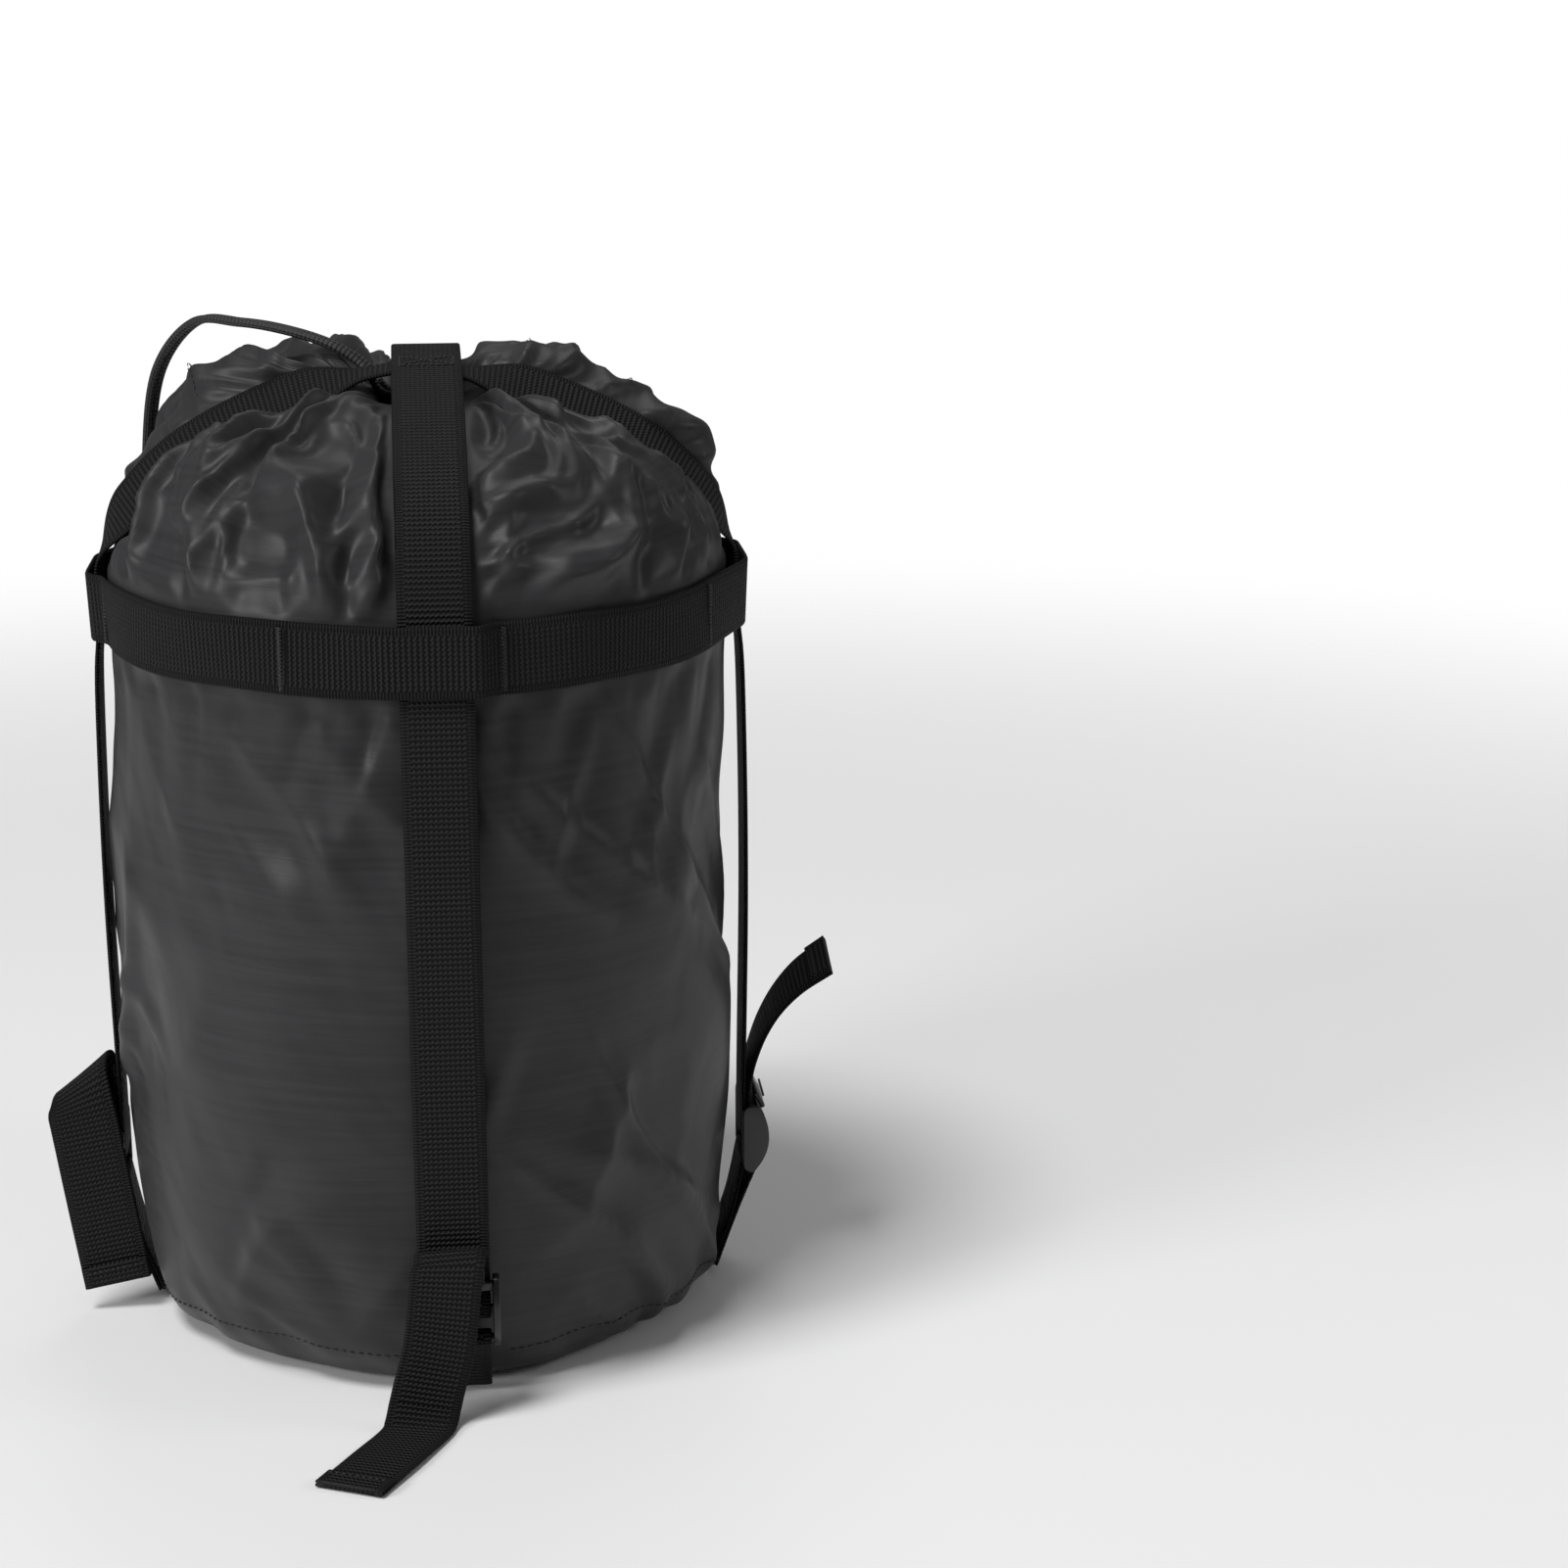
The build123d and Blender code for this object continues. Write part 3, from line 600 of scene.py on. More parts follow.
def box_loop(x, z, wide, tall, turn=0.0, count=28, softness=2):
    """A rounded rectangle centred on (x, z) and turned from upright."""
    corners = np.array([(-wide, -tall), (wide, -tall), (wide, tall), (-wide, tall)]) / 2
    loop = rounded_loop(corners, count, softness)
    turned = np.stack([loop[:, 0] * cos(turn) - loop[:, 1] * sin(turn),
                       loop[:, 0] * sin(turn) + loop[:, 1] * cos(turn)], axis=1)
    return turned + (x, z)


# --------------------------------------------------------------------------------------------------------------------
# Where the straps run
# --------------------------------------------------------------------------------------------------------------------

BAR_A_Z = {"front": 27.0 * MM, "right": 45.0 * MM, "back": 38.0 * MM, "left": 46.0 * MM}
RUN_R = STRAP_OUT - WEB / 2
JOIN_R = WAIST_R + 2.3 * MM + WEB / 2
BAR_A_R = 1.6 * MM
BAR_B_DEEP, BAR_C_DEEP = 2.4 * MM, 2.8 * MM
BAR_A_X = RUN_R + WEB / 2 + CLEAR + BAR_B_DEEP / 2
BAR_B_OUT = BAR_A_X + BAR_B_DEEP / 2 + CLEAR + WEB / 2
TAIL_R = RUN_R + WEB + 0.4 * MM
BAR_C_X = TAIL_R + WEB / 2 + CLEAR + BAR_C_DEEP / 2
BAR_B_UP, BAR_C_UP, EXIT_UP = 10.5 * MM, 20.5 * MM, 25.0 * MM
KEEP = 1 - TRAVEL / TOP_Z
KEEP_BAND = BAND_MID / TOP_Z
# Places along a crown strap's fall: the share of the waist's radius, and the share of the drop from top to band.
VALLEY = np.array([(0.9, 0.68), (0.72, 0.4), (0.42, 0.15), (0.12, 0.012)])


def crown_path(lift):
    """Middle line of a crown strap in the side plane, from the band over the top and down to it again."""
    x, z = VALLEY[:, 0] * WAIST_R, TOP_Z - VALLEY[:, 1] * (TOP_Z - BAND_HIGH)
    arch = np.stack([x * (1 + lift / WAIST_R), z + lift * (1 - 0.25 * x / WAIST_R)], axis=1)
    start = [(JOIN_R, BAND_MID), (WAIST_R + 1.2 * UNDER + 0.3 * MM, BAND_HIGH + 4 * MM)]
    half = np.vstack([start, arch])
    whole = np.vstack([half, [(0.0, TOP_Z + lift)], half[::-1] * (-1, 1)])
    return curve_through(np.stack([whole[:, 0], np.zeros(len(whole)), whole[:, 1]], axis=1), 190)


def side_strap(shape, path, side, lean=0.0):
    """Adds webbing along a side-plane path that keeps to its strap's line, its +Y edge raised by lean radians."""
    along = np.gradient(path, axis=0)
    rise = unit(np.stack([along[:, 2], 0 * along[:, 0], -along[:, 0]], axis=1))
    rise *= np.sign(np.sum(rise * (path - (0, 0, BELLY_R)), axis=1, keepdims=True))
    lean = np.broadcast_to(lean, len(path))[:, None]
    wide = np.cos(lean) * (0.0, 1.0, 0.0) + np.sin(lean) * rise
    ribbon(shape, to_side(path, side), to_side(wide, side, is_place=False), WEB_WIDTH, WEB)


def run_path(side):
    """The strap down the wall, bowed a little off it between the band and the buckle."""
    low, high = BAR_A_Z[side] + BAR_B_UP - 0.1 * MM, BAND_MID - 0.2 * MM
    line = curve_through([
        (JOIN_R, 0, high), (JOIN_R + 0.4 * MM, 0, high - 12 * MM), (RUN_R, 0, high - 34 * MM),
        (RUN_R, 0, (low + high) / 2), (RUN_R, 0, low + 20 * MM), (RUN_R, 0, low)], 90)
    share = (line[:, 2] - low) / (high - low)
    line[:, 0] += 1.2 * MM * np.sin(pi * share) ** 2
    return line


def wrap_path(side):
    """The strap under bar B, over its outer face and out between bar C and the incoming strap."""
    z = BAR_A_Z[side]
    turn = np.linspace(pi, 2 * pi, 16)
    bend = (BAR_B_OUT - RUN_R) / 2
    arc = np.stack([BAR_A_X + bend * np.cos(turn), 0 * turn, z + BAR_B_UP - 0.1 * MM + bend * np.sin(turn)], axis=1)
    rest = curve_through([
        (BAR_B_OUT, 0, z + BAR_B_UP + 0.3 * MM), (BAR_B_OUT, 0, z + BAR_B_UP + 2.4 * MM),
        ((BAR_B_OUT + TAIL_R) / 2, 0, z + BAR_B_UP + 4.6 * MM), (TAIL_R, 0, z + BAR_C_UP - 3.0 * MM),
        (TAIL_R, 0, z + EXIT_UP)], 22)
    return np.vstack([arc, rest])


def anchor_path(side):
    """Webbing up from the base seam, round bar A and back down inside itself."""
    z = BAR_A_Z[side]
    turn = np.linspace(-0.15 * pi, 1.02 * pi, 18)
    eye = BAR_A_R + CLEAR + WEB / 2
    outer = np.array([(-9.6, 3.4), (-4.6 + 0.06 * z / MM, 0.55 * z / MM)]) * MM + (BELLY_R, 0)
    inner = outer + (-1.5 * MM, 0.3 * MM)
    ring = np.stack([BAR_A_X + eye * np.cos(turn), z + eye * np.sin(turn)], axis=1)
    flat = np.vstack([outer, ring, inner[::-1]])
    return curve_through(np.stack([flat[:, 0], 0 * flat[:, 0], flat[:, 1]], axis=1), 80)


def tail_frames(side):
    """Places and width directions of a loose tail in the side plane, from the buckle to its hem."""
    z = BAR_A_Z[side] / MM
    if side in ("right", "back"):
        steps = [(0.0, 0.0, 24.6, 0.0), (0.7, 0.0, 32.0, 0.0), (2.4, 0.0, 40.0, 0.0), (6.4, 0.0, 51.0, 0.05),
                 (12.4, 0.6, 61.0, 0.12), (20.6, 1.2, 69.6, 0.2), (32.0, 2.0, 77.0, 0.25)]
        frames = [(out, aside, z + up, 0.0, 1.0, twist) for out, aside, up, twist in steps]
    elif side == "front":
        frames = [(0.0, 0.0, z + 24.6, 0, 1, 0), (0.0, -0.1, z + 29.0, 0, 1, 0.01), (1.6, -0.5, z + 32.6, 0, 1, 0.02),
                  (5.2, -0.9, z + 34.4, 0, 1, 0.03), (8.8, -1.3, z + 32.6, 0, 1, 0.05),
                  (10.4, -2.6, z + 28.0, 0, 0.99, -0.06), (10.8, -5.6, 30.0, 0, 0.978, -0.208),
                  (11.2, -9.6, 14.0, 0, 0.978, -0.208), (12.4, -11.4, 7.0, 0.04, 0.98, -0.17),
                  (15.2, -12.8, 2.6, 0.12, 0.98, -0.08), (20.0, -15.0, 1.1, 0.25, 0.96, 0),
                  (39.0, -25.4, 1.5, 0.36, 0.93, 0.01), (58.5, -37.0, 1.0, 0.42, 0.9, 0)]
    else:
        frames = [(0.0, 0, z + 24.6, 0, 1, 0), (1.8, 0.4, 76.4, 0.08, 0.99, -0.08), (5.4, 1.6, 81.0, 0.34, 0.87, -0.34),
                  (8.6, 4.4, 86.4, 0.62, 0.5, -0.6), (11.2, 9.0, 90.2, 0.76, 0.1, -0.64),
                  (12.0, 13.6, 90.4, 0.8, 0.0, -0.6), (12.6, 16.8, 87.2, 0.84, 0, -0.54),
                  (12.4, 18.0, 81.0, 0.94, 0, -0.34), (11.0, 18.0, 72.0, 0.983, 0, -0.185),
                  (6.4, 18.3, 40.0, 0.983, 0, -0.185), (2.0, 18.4, 10.6, 0.983, 0, -0.185)]
    frames = np.array(frames, float)
    frames[:, :3] = frames[:, :3] * MM + (TAIL_R, 0, 0)
    return frames


def side_point(side, out, aside, height):
    """A place of the side plane, in millimetres from the tail's plane, in the row frame."""
    return tuple(to_side(np.array([TAIL_R + out * MM, aside * MM, height * MM]), side).tolist())


# Middle of the doubled drawcord in millimetres, from the lock over the back-left lobe and down the back.
CORD_ROUTE = [
    (-4.9, 4.9, 337.5), (-11.0, 11.2, 338.9), (-18.0, 17.4, 347.4), (-30.0, 20.6, 354.6),
    (-46.0, 27.4, 359.0), (-62.0, 38.0, 360.4), (-79.5, 53.2, 358.6), (-94.2, 66.8, 339.5),
    (-100.0, 74.6, 309.0), (-100.2, 76.6, 278.0), (-98.6, 76.0, 244.0), (-97.0, 76.0, 208.0),
    (-96.2, 75.4, 171.0), (-96.8, 76.4, 136.0),
]


# --------------------------------------------------------------------------------------------------------------------
# Materials
# --------------------------------------------------------------------------------------------------------------------

def darker(colour, share):
    """A share of a colour, with its alpha at 1."""
    return tuple(value * share for value in colour[:3]) + (1.0,)


def nylon(name, colour, roughness):
    """Coated nylon: a satin cloth whose fine level threads catch the light, with small creases."""
    finish = Finish(name)
    where, x, y, _ = finish.place()
    _, _, up_cloth = finish.own_uv()
    threads = finish.noise(finish.node("ShaderNodeCombineXYZ", inputs={
        "X": x * 70.0, "Y": y * 70.0, "Z": up_cloth * 2600.0}), 1.0, 2.0)
    brushed = finish.noise(finish.node("ShaderNodeCombineXYZ", inputs={
        "X": x * 16.0, "Y": y * 16.0, "Z": up_cloth * 420.0}), 1.0, 2.0)
    rumpled = finish.noise(where, 85.0, 3.0, 0.5)
    cloudy = finish.noise(where, 18.0, 2.0, 0.5)
    tint = finish.mix((brushed * 0.6 + cloudy * 0.4).step(0.32, 0.68), darker(colour, 0.72), tuple(colour))
    turned = finish.stretched(finish.node("ShaderNodeVectorRotate", {"rotation_type": "AXIS_ANGLE"}, {
        "Vector": where, "Axis": (0.3, 1.0, 0.2), "Angle": 0.6}), (1.0, 1.0, 0.42))
    lines = finish.noise(turned, 26.0, 2.0, 0.4)
    sharp = (1 - ((lines - 0.5) * 7.0).absolute()).step(0.0, 1.0)
    soft = finish.bump(rumpled, 0.2, 0.6 * MM, finish.bump(sharp + lines * 2.0, 0.35, 1.6 * MM))
    return finish.feed(
        Base_Color=tint, Roughness=brushed * 0.14 + (roughness - 0.07), Specular_IOR_Level=0.22, Sheen_Weight=0.02,
        Sheen_Roughness=0.45, Normal=finish.bump(threads, 0.22, 0.16 * MM, soft))


def webbing(name, colour, rib):
    """Strap webbing: ribs across its width, stepped at each warp thread, a tighter edge on both sides, and painted
    shade between ribs.
    """
    finish = Finish(name)
    where, across, along = finish.own_uv()
    warp = (across * (2 * pi / (1.7 * MM))).sine()
    ribs = (along * (2 * pi / rib) + warp * 0.7).sine() * 0.5 + 0.5
    edge = across.absolute().step(WEB_WIDTH / 2 - 3.2 * MM, WEB_WIDTH / 2 - 2.8 * MM)
    tight = (along * (2 * pi / (0.6 * rib))).sine() * 0.5 + 0.5
    weave = ribs * (1 - edge) + tight * edge * 0.7 + (warp * 0.5 + 0.5) * 0.18
    fuzz = finish.noise(where, 900.0, 2.0)
    # Painted shade: the colour darkens to an eighth in the valleys between ribs and threads, where the bump is low, so
    # the crests read as lit.
    tint = finish.mix((weave * 0.85 + fuzz * 0.3).step(0.2, 1.1), darker(colour, 0.12), tuple(colour))
    return finish.feed(
        Base_Color=tint, Roughness=fuzz * 0.2 + 0.52, Specular_IOR_Level=0.14,
        Normal=finish.bump(weave + fuzz * 0.25, 1.0, 0.7 * MM))


def braided(name, colour):
    """Round braided cord: two sets of strands winding opposite ways over each other, with painted shade in the grooves
    between them.
    """
    finish = Finish(name)
    where, round_way, along = finish.own_uv()
    right = (round_way * 4.0 + along * (2 * pi / (3.4 * MM))).sine()
    left = (round_way * 4.0 - along * (2 * pi / (3.4 * MM))).sine()
    strands = (right * left) * 0.5 + 0.5
    fuzz = finish.noise(where, 500.0, 2.0)
    # Painted shade: the colour darkens to a quarter in the grooves between strands, where the bump is low.
    tint = finish.mix((strands * 0.8 + fuzz * 0.2).step(0.1, 0.9), darker(colour, 0.25), tuple(colour))
    return finish.feed(Base_Color=tint, Roughness=0.6, Normal=finish.bump(strands, 0.8, 0.4 * MM))


def thread(name, colour):
    """Sewing thread: a fine twist."""
    finish = Finish(name)
    where, x, y, z = finish.place()
    twist = ((x + y + z) * (2 * pi / (0.5 * MM))).sine()
    fuzz = finish.noise(where, 900.0, 2.0)
    tint = finish.mix(fuzz.step(0.3, 0.7), darker(colour, 0.5), tuple(colour))
    return finish.feed(Base_Color=tint, Roughness=0.5, Normal=finish.bump(twist, 0.4, 0.08 * MM))


def acetal(name, colour):
    """Moulded plastic: even and glossy, with a faint grain and handling marks."""
    finish = Finish(name)
    where, _, _, _ = finish.place()
    grain, marks = finish.noise(where, 1400.0, 2.0), finish.noise(where, 90.0, 4.0)
    tint = finish.mix(marks.step(0.35, 0.7), darker(colour, 0.7), tuple(colour))
    return finish.feed(
        Base_Color=tint, Roughness=marks * 0.18 + 0.24, Normal=finish.bump(grain, 0.12, 0.05 * MM))


def steel(name):
    """Bright spring wire with fine marks."""
    finish = Finish(name)
    where, _, _, _ = finish.place()
    marks = finish.noise(where, 600.0, 3.0)
    tint = finish.mix(marks, (0.42, 0.42, 0.43, 1.0), (0.62, 0.62, 0.62, 1.0))
    return finish.feed(Base_Color=tint, Roughness=marks * 0.2 + 0.22, Metallic=1.0)


def clothes(name):
    """Packed clothes: soft knitted cloth in a few muted colours."""
    finish = Finish(name)
    where, x, y, z = finish.place()
    knit = (z * (2 * pi / (2.6 * MM))).sine() * ((x + y) * (2 * pi / (3.2 * MM))).sine() * 0.5 + 0.5
    patches = finish.noise(where, 14.0, 1.0)
    tint = finish.mix(patches.step(0.45, 0.55), (0.09, 0.12, 0.17, 1.0), (0.26, 0.25, 0.22, 1.0))
    return finish.feed(Base_Color=tint, Roughness=0.85, Normal=finish.bump(knit, 0.5, 0.5 * MM))


def material(name, make, *values):
    """The finish for a slot, made the first time it is asked for. The frame's plain materials have the bare names."""
    name = f"{name}_finish"
    return bpy.data.materials.get(name) or make(name, *values)


def cloth_material():
    """The nylon's finish, in the cloth's settings."""
    look = bpy.context.scene.sack_cloth
    return material("coated_nylon", nylon, look.colour, look.roughness)


def strap_material():
    """The webbing's finish, in the straps' settings."""
    look = bpy.context.scene.sack_straps
    return material("strap_webbing", webbing, look.colour, look.rib)


def thread_material():
    """The stitches' finish, in the straps' settings."""
    return material("stitch_thread", thread, bpy.context.scene.sack_straps.thread_colour)


def attach(piece, body, slot, *nodes, squash=None):
    """Rides a finished piece on its body if it is given one, and hides the nodes that it stands for.

    When squash is given, the piece gets its own copy of its mesh, and nothing more.
    """
    if body:
        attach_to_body(piece, body)
    if nodes:
        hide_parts(*nodes)
    if squash is not None:
        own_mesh(piece)
    return piece


def subdivided(piece):
    """Adds one level of subdivision."""
    surface = piece.modifiers.new("Subdivision", "SUBSURF")
    surface.levels = surface.render_levels = 1
    return piece


# --------------------------------------------------------------------------------------------------------------------
# Settings
# --------------------------------------------------------------------------------------------------------------------

class SackCloth(bpy.types.PropertyGroup):
    """The nylon skin."""
    pucker: bpy.props.FloatProperty(
        name="Pucker", description="Depth of the short folds along the band", default=3.4 * MM, subtype="DISTANCE")
    wrinkle: bpy.props.FloatProperty(
        name="Wrinkle", description="Depth of the long wrinkles down the wall", default=8.0 * MM, subtype="DISTANCE")
    fold: bpy.props.FloatProperty(
        name="Fold", description="Depth of the folds over the top", default=8.5 * MM, subtype="DISTANCE")
    colour: bpy.props.FloatVectorProperty(
        name="Colour", description="Colour of the nylon", size=4, default=(0.033, 0.033, 0.035, 1.0), subtype="COLOR")
    roughness: bpy.props.FloatProperty(
        name="Roughness", description="How dull the nylon is", default=0.43, min=0.0, max=1.0, subtype="FACTOR")


class SackStraps(bpy.types.PropertyGroup):
    """The webbing and its stitches."""
    colour: bpy.props.FloatVectorProperty(
        name="Colour", description="Colour of the webbing", size=4, default=(0.020, 0.020, 0.020, 1.0),
        subtype="COLOR")
    thread_colour: bpy.props.FloatVectorProperty(
        name="Thread", description="Colour of the sewing thread", size=4, default=(0.012, 0.012, 0.012, 1.0),
        subtype="COLOR")
    rib: bpy.props.FloatProperty(
        name="Rib", description="Distance from one rib of the webbing to the next", default=1.9 * MM,
        subtype="DISTANCE")
    hem: bpy.props.FloatProperty(
        name="Hem", description="Length of the folded end of a tail", default=8.5 * MM, subtype="DISTANCE")


class SackHardware(bpy.types.PropertyGroup):
    """The buckles and the cord lock."""
    colour: bpy.props.FloatVectorProperty(
        name="Colour", description="Colour of the moulded buckles and cord lock", size=4,
        default=(0.010, 0.010, 0.011, 1.0), subtype="COLOR")
    rounding: bpy.props.FloatProperty(
        name="Rounding", description="Radius of the buckles' edges", default=0.5 * MM, subtype="DISTANCE")


class SackCord(bpy.types.PropertyGroup):
    """The drawcord."""
    diameter: bpy.props.FloatProperty(
        name="Diameter", description="Diameter of the drawcord", default=3.0 * MM, subtype="DISTANCE")
    colour: bpy.props.FloatVectorProperty(
        name="Colour", description="Colour of the drawcord", size=4, default=(0.022, 0.022, 0.022, 1.0),
        subtype="COLOR")


class SackStage(bpy.types.PropertyGroup):
    """The floor and the lights."""
    light: bpy.props.FloatProperty(
        name="Light", description="Power of the main light", default=16.0, unit="POWER")
    floor_colour: bpy.props.FloatVectorProperty(
        name="Floor", description="Colour of the floor", size=4, default=(0.93, 0.93, 0.93, 1.0), subtype="COLOR")


# --------------------------------------------------------------------------------------------------------------------
# Operators
# --------------------------------------------------------------------------------------------------------------------

class SACK_OT_cloth(bpy.types.Operator):
    """Makes the nylon skin: the wall, the gathered top and the round base"""
    bl_idname = "sack.cloth"
    bl_label = "Cloth"

    def execute(self, context):
        look = context.scene.sack_cloth
        places, run = folded_cloth(look)
        finish = cloth_material()
        angle = np.arange(COLUMNS) * 2 * pi / COLUMNS
        uv = np.stack(np.broadcast_arrays(angle[None, :] * BELLY_R, run[:, None]), axis=-1)
        for name, node, rows in (("cloth_wall", "side_panel", slice(0, SIDE_ROWS)),
                                 ("cloth_top", "top_gather", slice(SIDE_ROWS - 1, None))):
            shape = Shape()
            shape.add_tube(places[rows], uv[rows])
            piece = subdivided(shape.make(name, finish))
            attach(piece, "sack", "coated_nylon", node, squash=(0.0, KEEP))
        self.base(places, finish)
        self.seam(places)
        return {"FINISHED"}

    def base(self, places, finish):
        """The flat base, from its middle to the wall's first row, with its edge turned up into the seam."""
        edge, rings = places[0], 26
        share = np.linspace(0.004, 1.0, rings)[:, None, None]
        disc = np.concatenate([edge[None, :, :2] * share, np.full((rings, COLUMNS, 1), 0.5 * MM)], axis=2)
        x, y = disc[..., 0], disc[..., 1]
        disc[..., 2] += 0.12 * MM * (waves(x, y, 0 * x, seed=61, size=0.05) + 1) * (share[..., 0] < 0.97)
        disc[-1, :, 2] = edge[:, 2]
        shape = Shape()
        shape.add_tube(disc, disc[..., :2], cap_first=True, flip=True)
        attach(shape.make("cloth_base", finish), "sack", "coated_nylon", "base_panel")

    def seam(self, places):
        """The stitches where the base is sewn to the wall, and the casing's row over the back lobes."""
        shape = Shape()
        normals = outward(places)
        for row, pitch, front in ((6, 3.2 * MM, -1.0), (SIDE_ROWS + 27, 3.0 * MM, 0.02)):
            line = np.vstack([places[row], places[row][:1]])
            starts, ends, outs = dashes(line, np.vstack([normals[row], normals[row][:1]]), pitch)
            beside = from_straps(starts[:, 0], starts[:, 1])
            keep = (beside > WEB_WIDTH / 2 + 4 * MM) & (starts[:, 1] > front)
            stitches(shape, starts[keep], ends[keep], outs[keep], 0.25 * MM)
        piece = shape.make("seam_stitches", thread_material())
        attach(piece, "sack", "stitch_thread", squash=(0.0, KEEP))


class SACK_OT_load(bpy.types.Operator):
    """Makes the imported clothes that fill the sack"""
    bl_idname = "sack.load"
    bl_label = "Packed clothes"

    def execute(self, context):
        columns = 96
        angle = np.arange(columns) * 2 * pi / columns
        rows, _ = stuffed_rows(angle)
        rows = rows[4:-8:3].copy()
        level = smooth(rows[..., 1], BAND_HIGH, BAND_HIGH + 14 * MM)
        radius = rows[..., 0] - (8.0 + 12.0 * level) * MM
        height = np.maximum(rows[..., 1], 8.0 * MM) - 15.0 * MM * level
        bottom, under_mouth = 3.4 * MM, 312 * MM
        radius[0], height[0] = BASE_R - 12.0 * MM, bottom
        height = np.where(radius < 34 * MM, np.minimum(height, under_mouth), height)
        x, y = radius * np.cos(angle), radius * np.sin(angle)
        radius = radius - 1.4 * MM * (1 + waves(x, y, height, seed=71, octaves=2, size=0.07))
        places = np.stack([radius * np.cos(angle), radius * np.sin(angle), height], axis=-1)
        shape = Shape()
        shape.add_tube(places, places[..., :2])
        first, low = np.arange(columns), shape.count
        last, following = first + low - columns, (first + 1) % columns
        shape.add(np.array([[0, 0, bottom], [0, 0, float(places[-1, :, 2].min())]]), np.zeros((0, 4), int),
                  np.zeros((2, 2)))
        fans = np.vstack([np.stack([0 * first + low, following, first], axis=1),
                          np.stack([0 * first + low + 1, last, last[following]], axis=1)])
        shape.faces.extend(fans.tolist())
        piece = shape.make("packed_clothes", material("packed_clothes", clothes))
        attach(piece, "sack", "packed_clothes", "packed_load", squash=(0.0, KEEP))
        return {"FINISHED"}


class SACK_OT_band(bpy.types.Operator):
    """Makes the band round the sack, loose over each strap, with its stitched bars"""
    bl_idname = "sack.band"
    bl_label = "Band"

    def execute(self, context):
        inner = WAIST_R + CLEAR
        tent = JOIN_R + WEB / 2 + 1.2 * MM
        near, far = 19.0 * MM, 48.0 * MM
        land = WEB_WIDTH / 2 + 2.0 * MM
        corners, stitch_turns = [], []
        for side, turn in SIDES.items():
            shift, turn = SHIFT[side], radians(turn)
            start, stop = (np.arcsin((shift + reach) / inner) for reach in (-far, near))
            stitch_turns += [(turn + start, -1.0), (turn + stop, 1.0)]
            loop = np.array([(inner * cos(start), -far, 0), (tent, -land, 0), (tent, land, 0),
                             (inner * cos(stop), near, 0)])
            corners.append(to_side(loop, side)[:, :2])
            following = list(SIDES)[(list(SIDES).index(side) + 1) % 4]
            arc = np.linspace(turn + stop, turn + pi / 2 + np.arcsin((SHIFT[following] - far) / inner), 26)[1:-1]
            corners.append(np.stack([inner * np.cos(arc), inner * np.sin(arc)], axis=1))
        ring = rounded_loop(np.concatenate(corners), 720, 14)
        out = unit(ring)
        turn = np.arctan2(ring[:, 1], ring[:, 0])
        ring = ring + out * (WEB / 2 + 0.12 * MM)
        rise = 0.35 * MM * np.sin(3 * turn + 0.6) + 0.25 * MM * np.sin(11 * turn)
        middles = np.column_stack([ring, BAND_MID + rise])
        lean = 0.05 * np.sin(9 * turn)
        wides = np.column_stack([out * lean[:, None], np.full(len(ring), -1.0)])
        shape = Shape()
        ribbon(shape, middles, wides, BAND_HIGH - BAND_LOW, WEB, closed=True)
        attach(shape.make("band_webbing", strap_material()), "band", "strap_webbing", "cinch_band")

        threads = Shape()
        for turn, beyond in stitch_turns:
            at = turn + beyond * radians(1.6)
            out = np.array([cos(at), sin(at), 0.0])
            aside = np.array([-sin(at), cos(at), 0.0])
            heights = np.arange(BAND_LOW + 1.8 * MM, BAND_HIGH - 1.6 * MM, 0.62 * MM)
            middle = out * (inner + WEB + 0.2 * MM) + np.array([0.0, 0.0, 1.0]) * heights[:, None]
            zigzag = np.where(np.arange(len(heights)) % 2, 1.0, -1.0)[:, None] * np.array([0, 0, 0.16 * MM])
            stitches(threads, middle - aside * 1.1 * MM - zigzag, middle + aside * 1.1 * MM + zigzag,
                     np.broadcast_to(out, middle.shape), 0.32 * MM)
        attach(threads.make("band_stitches", thread_material()), "band", "stitch_thread", "band_bartacks")
        return {"FINISHED"}


class SACK_OT_crown(bpy.types.Operator):
    """Makes the two straps crossed over the top, with their box stitch"""
    bl_idname = "sack.crown"
    bl_label = "Crown straps"

    def execute(self, context):
        for name, side, lift in (("crown_strap_side", "right", UNDER), ("crown_strap_front", "front", OVER)):
            shape = Shape()
            path = crown_path(lift)
            if side == "front":
                path[:, 2] += back_rise(-path[:, 0], path[:, 2])
                lean = 0.0
            else:
                lean = side_lean(path[:, 0], path[:, 2])
            side_strap(shape, path, side, lean)
            piece = shape.make(f"{name}_webbing", strap_material())
            attach(piece, "sack", "strap_webbing", name, squash=(0.0, KEEP))
        half = 9.5 * MM
        square = np.array([(-1, -1), (1, -1), (1, 1), (-1, 1), (-1, -1), (1, 1)]) * half
        cross = np.array([(1, -1), (-1, 1)]) * half
        threads = Shape()
        path = crown_path(OVER)
        order = np.argsort(path[:, 0])
        for line in (square, cross):
            fine = np.concatenate([np.linspace(a, b, 20) for a, b in zip(line[:-1], line[1:])])
            height = np.interp(fine[:, 0], path[order, 0], path[order, 2]) + WEB / 2 + 0.08 * MM
            places = to_side(np.column_stack([fine, height]), "front")
            places = places[np.concatenate([[True], np.diff(run_along(places)) > 1e-7])]
            ups = np.broadcast_to((0.0, 0.0, 1.0), places.shape)
            stitches(threads, *dashes(places, ups, 2.4 * MM), 0.32 * MM)
        piece = threads.make("crown_stitches", thread_material())
        attach(piece, "sack", "stitch_thread", "crown_box_stitch", squash=(0.0, KEEP))
        return {"FINISHED"}


